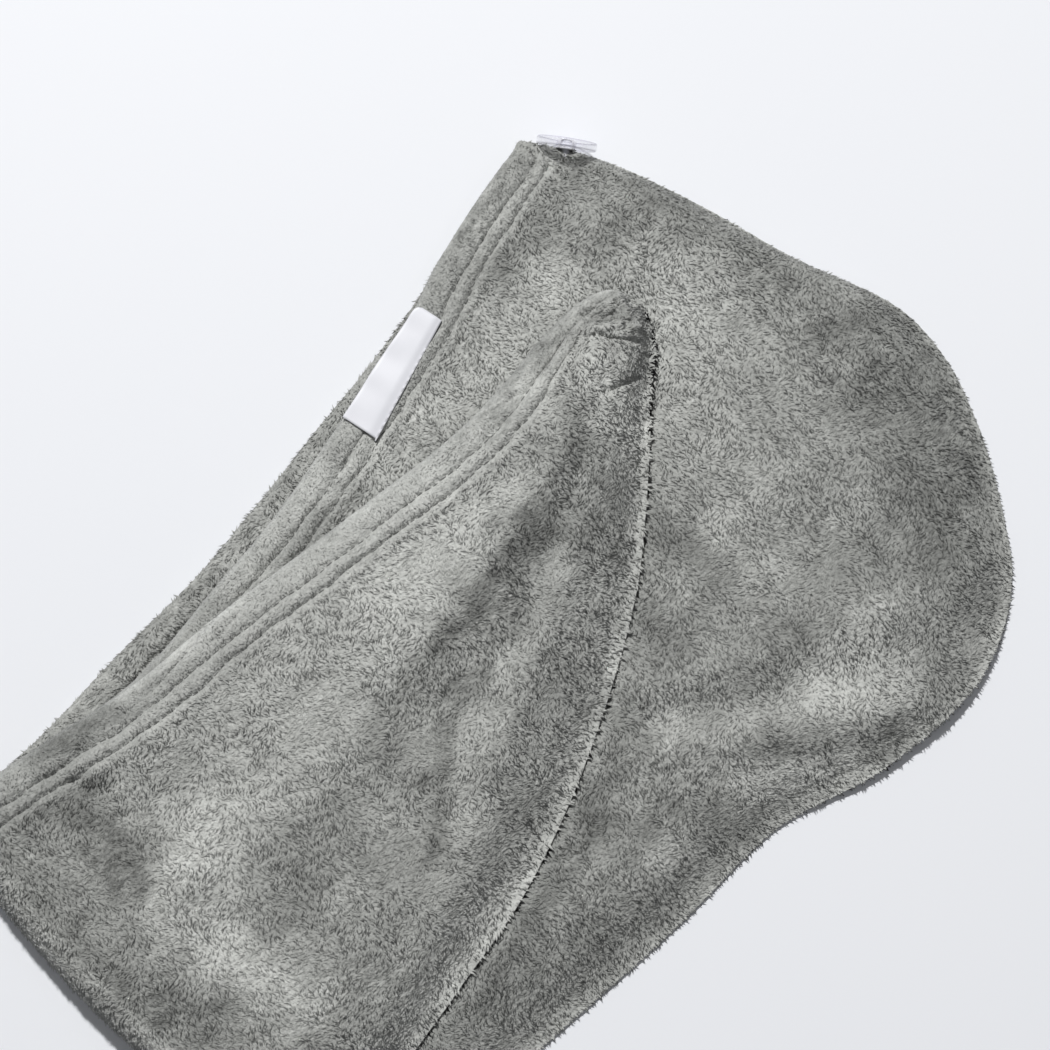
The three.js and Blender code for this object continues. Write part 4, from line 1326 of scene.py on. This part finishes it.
# The button's thread
# White thread crosses between the button's holes in front, lies in a pad behind it, and is
# wound into a short shank that goes into the seam.
strand_radius = 0.24
strand_spacing = 0.46
strand_behind, pad_behind = 0.5, 0.35
in_hole, rim_under, rim_over = -0.4, 0.1, 0.32
strand_over, strand_crest, strand_crowd = 0.5, 0.62, 0.1
front_level = button_half - dish_depth
shank_length, shank_reach, core_radius = 3.0, 1.15, 1.05
pad_start, pad_growth = 0.6, 3.2
pad_turns, shank_turns = 7, 6


def crossing_strand(x, z, aside):
    """One strand from behind the button, over its front between two holes, and back."""
    along = np.array([-x, -z]) / math.hypot(x, z)
    side = np.array([-along[1], along[0]]) * aside
    reach = math.hypot(x, z)
    stops = [(1, -button_half - strand_behind), (1, in_hole), (1, front_level - rim_under),
             (0.9, front_level + rim_over), (0.5, front_level + strand_over)]
    middle = (0, front_level + strand_crest + abs(aside) * strand_crowd)
    path = []
    for share, y in (*((-share, y) for share, y in stops), middle, *reversed(stops)):
        place = along * share * reach + side
        path.append((place[0], y, place[1]))
    path = np.array(path)
    fine = np.linspace(0, len(path) - 1, 34)
    return np.stack([np.interp(fine, np.arange(len(path)), path[:, k]) for k in range(3)], -1)


thread_parts = []
for x, z in ((hole_spread / 2, hole_spread / 2), (-hole_spread / 2, hole_spread / 2)):
    for strand in (-1, 0, 1):
        thread_parts.append(tube(crossing_strand(x, z, strand * strand_spacing), strand_radius, 7))
winding = np.linspace(0, 1, 90)
pad_turn, shank_turn = winding * 2 * math.pi * pad_turns, winding * 2 * math.pi * shank_turns
pad_reach = pad_start + pad_growth * winding
pad_path = np.stack([pad_reach * np.cos(pad_turn), -button_half - pad_behind + 0 * winding,
                     pad_reach * np.sin(pad_turn)], -1)
shank_level = -button_half - strand_behind - shank_length * winding
shank_path = np.stack([shank_reach * np.cos(shank_turn), shank_level,
                       shank_reach * np.sin(shank_turn)], -1)
core_path = np.stack([0 * winding, shank_level, 0 * winding], -1)
thread_parts.append(tube(pad_path, strand_radius * 1.1, 6))
thread_parts.append(tube(shank_path, strand_radius * 1.3, 6))
thread_parts.append(tube(core_path, core_radius, 10))
thread_points, thread_faces = joined(thread_parts)
button_thread = new_mesh("button_sewing", in_row(beside_seam(thread_points)), thread_faces)
button_thread.data.materials.append(white_thread)
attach(button_thread, "root")
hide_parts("button_thread")

# The elastic loop
# A round braided elastic, sewn in under the tail's tip and lying on the hood in a drop shape.
# The tail hides it in this fold, so its size is the usual one.
loop_length, loop_width = 34.0, 14.0
loop_radius = 1.1
loop_widest, loop_end_spacing = 0.77, 1.4
loop_end_gap, loop_clearance = 0.8, 0.3
loop_steps, loop_sides = 220, 14
braid_turns, braid_depth = 34, 0.07


def loop_path():
    """The elastic's path: out from the tail's tip, round and back, lying on the hood."""
    ends = tail_lines([0.8, 1.0])
    middles = (ends.hem + ends.seam) / 2
    back = (middles[0] - middles[1]) / np.linalg.norm(middles[0] - middles[1])
    aside = np.array([-back[1], back[0]])
    angle = np.linspace(0, 2 * math.pi, loop_steps, endpoint=False)
    reach = (1 - np.cos(angle)) / 2
    spread = np.sin(angle) * np.sin(angle / 2) * loop_width / (2 * loop_widest)
    spread += loop_radius * loop_end_spacing * np.sign(np.sin(angle + 1e-6)) * (1 - reach)
    along = seam_strip + reach * (loop_length - 2 * loop_radius)
    spots = middles[1] + along[:, None] * back + spread[:, None] * aside
    lying = hood_top + loop_clearance + loop_radius
    end_rise = hood_top + lay_gap + ends.rise[1] - loop_end_gap - loop_radius - lying
    under = np.maximum(0, fold_height(hood_side.folds, spots, 1) + rippled(spots, slack_waves))
    return np.concatenate([spots, (lying + under + end_rise * (1 - reach) ** 4)[:, None]], -1)


loop_turn = np.linspace(0, 2 * math.pi * braid_turns, loop_steps, endpoint=False)[:, None]
loop_round = np.linspace(0, 2 * math.pi, loop_sides, endpoint=False)[None]
braid = np.abs(np.sin(2 * loop_round + loop_turn)) + np.abs(np.sin(2 * loop_round - loop_turn)) - 1
loop_points, loop_faces = tube(loop_path(), loop_radius * (1 + braid_depth * braid), loop_sides, True,
                               np.array([0.0, 0.0, 1.0]))
loop = new_mesh("loop_cord", in_row(loop_points), loop_faces)
loop.data.materials.append(thread_finish("grey_elastic", (140, 142, 138), 1500.0))
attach(loop, "root")
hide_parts("elastic_loop")

# The table and the light
# A plain pale table. A small window light from the picture's top gives the short shadows, and a
# large weak light above with a faint bright room fills them.
table_size, table_drop = 8.0, 0.2 * mm
room_colour, room_strength = (0.93, 0.95, 1.0, 1.0), 0.14
table_finish = Material("pale_table", Roughness=0.6)
table_grain = table_finish.noise(table_finish.place(), 3.0)
table_finish.feed("Base Color", table_finish.blend(table_grain, linear(236, 238, 242),
                                                   linear(240, 241, 244)))
table_mesh = bpy.data.meshes.new("table_top")
table_corners = [(x * table_size, y * table_size, -table_drop)
                 for x, y in ((-1, -1), (1, -1), (1, 1), (-1, 1))]
table_mesh.from_pydata(table_corners, [], [(0, 1, 2, 3)])
table_top = placed("table_top", table_mesh)
table_top.data.materials.append(table_finish.data)

room = bpy.data.worlds.new("room")
room.use_nodes = True
room.node_tree.nodes["Background"].inputs["Color"].default_value = room_colour
room.node_tree.nodes["Background"].inputs["Strength"].default_value = room_strength
bpy.context.scene.world = room


def soft_light(name, turn, height, distance, size, power):
    """A round light seen from the towel at a turn in plan and a height, in degrees."""
    data = bpy.data.lights.new(name, "AREA")
    data.shape, data.size, data.energy = "DISK", size, power
    light = placed(name, data)
    a, e = math.radians(turn), math.radians(height)
    away = Vector((math.cos(a) * math.cos(e), math.sin(a) * math.cos(e), math.sin(e)))
    light.location = away * distance
    light.rotation_euler = away.to_track_quat("Z", "Y").to_euler()


soft_light("window", turn=54.7, height=58, distance=4.0, size=0.22, power=142)
soft_light("ceiling", turn=-20, height=78, distance=2.4, size=2.2, power=4)
bpy.context.scene.view_settings.view_transform = "Standard"
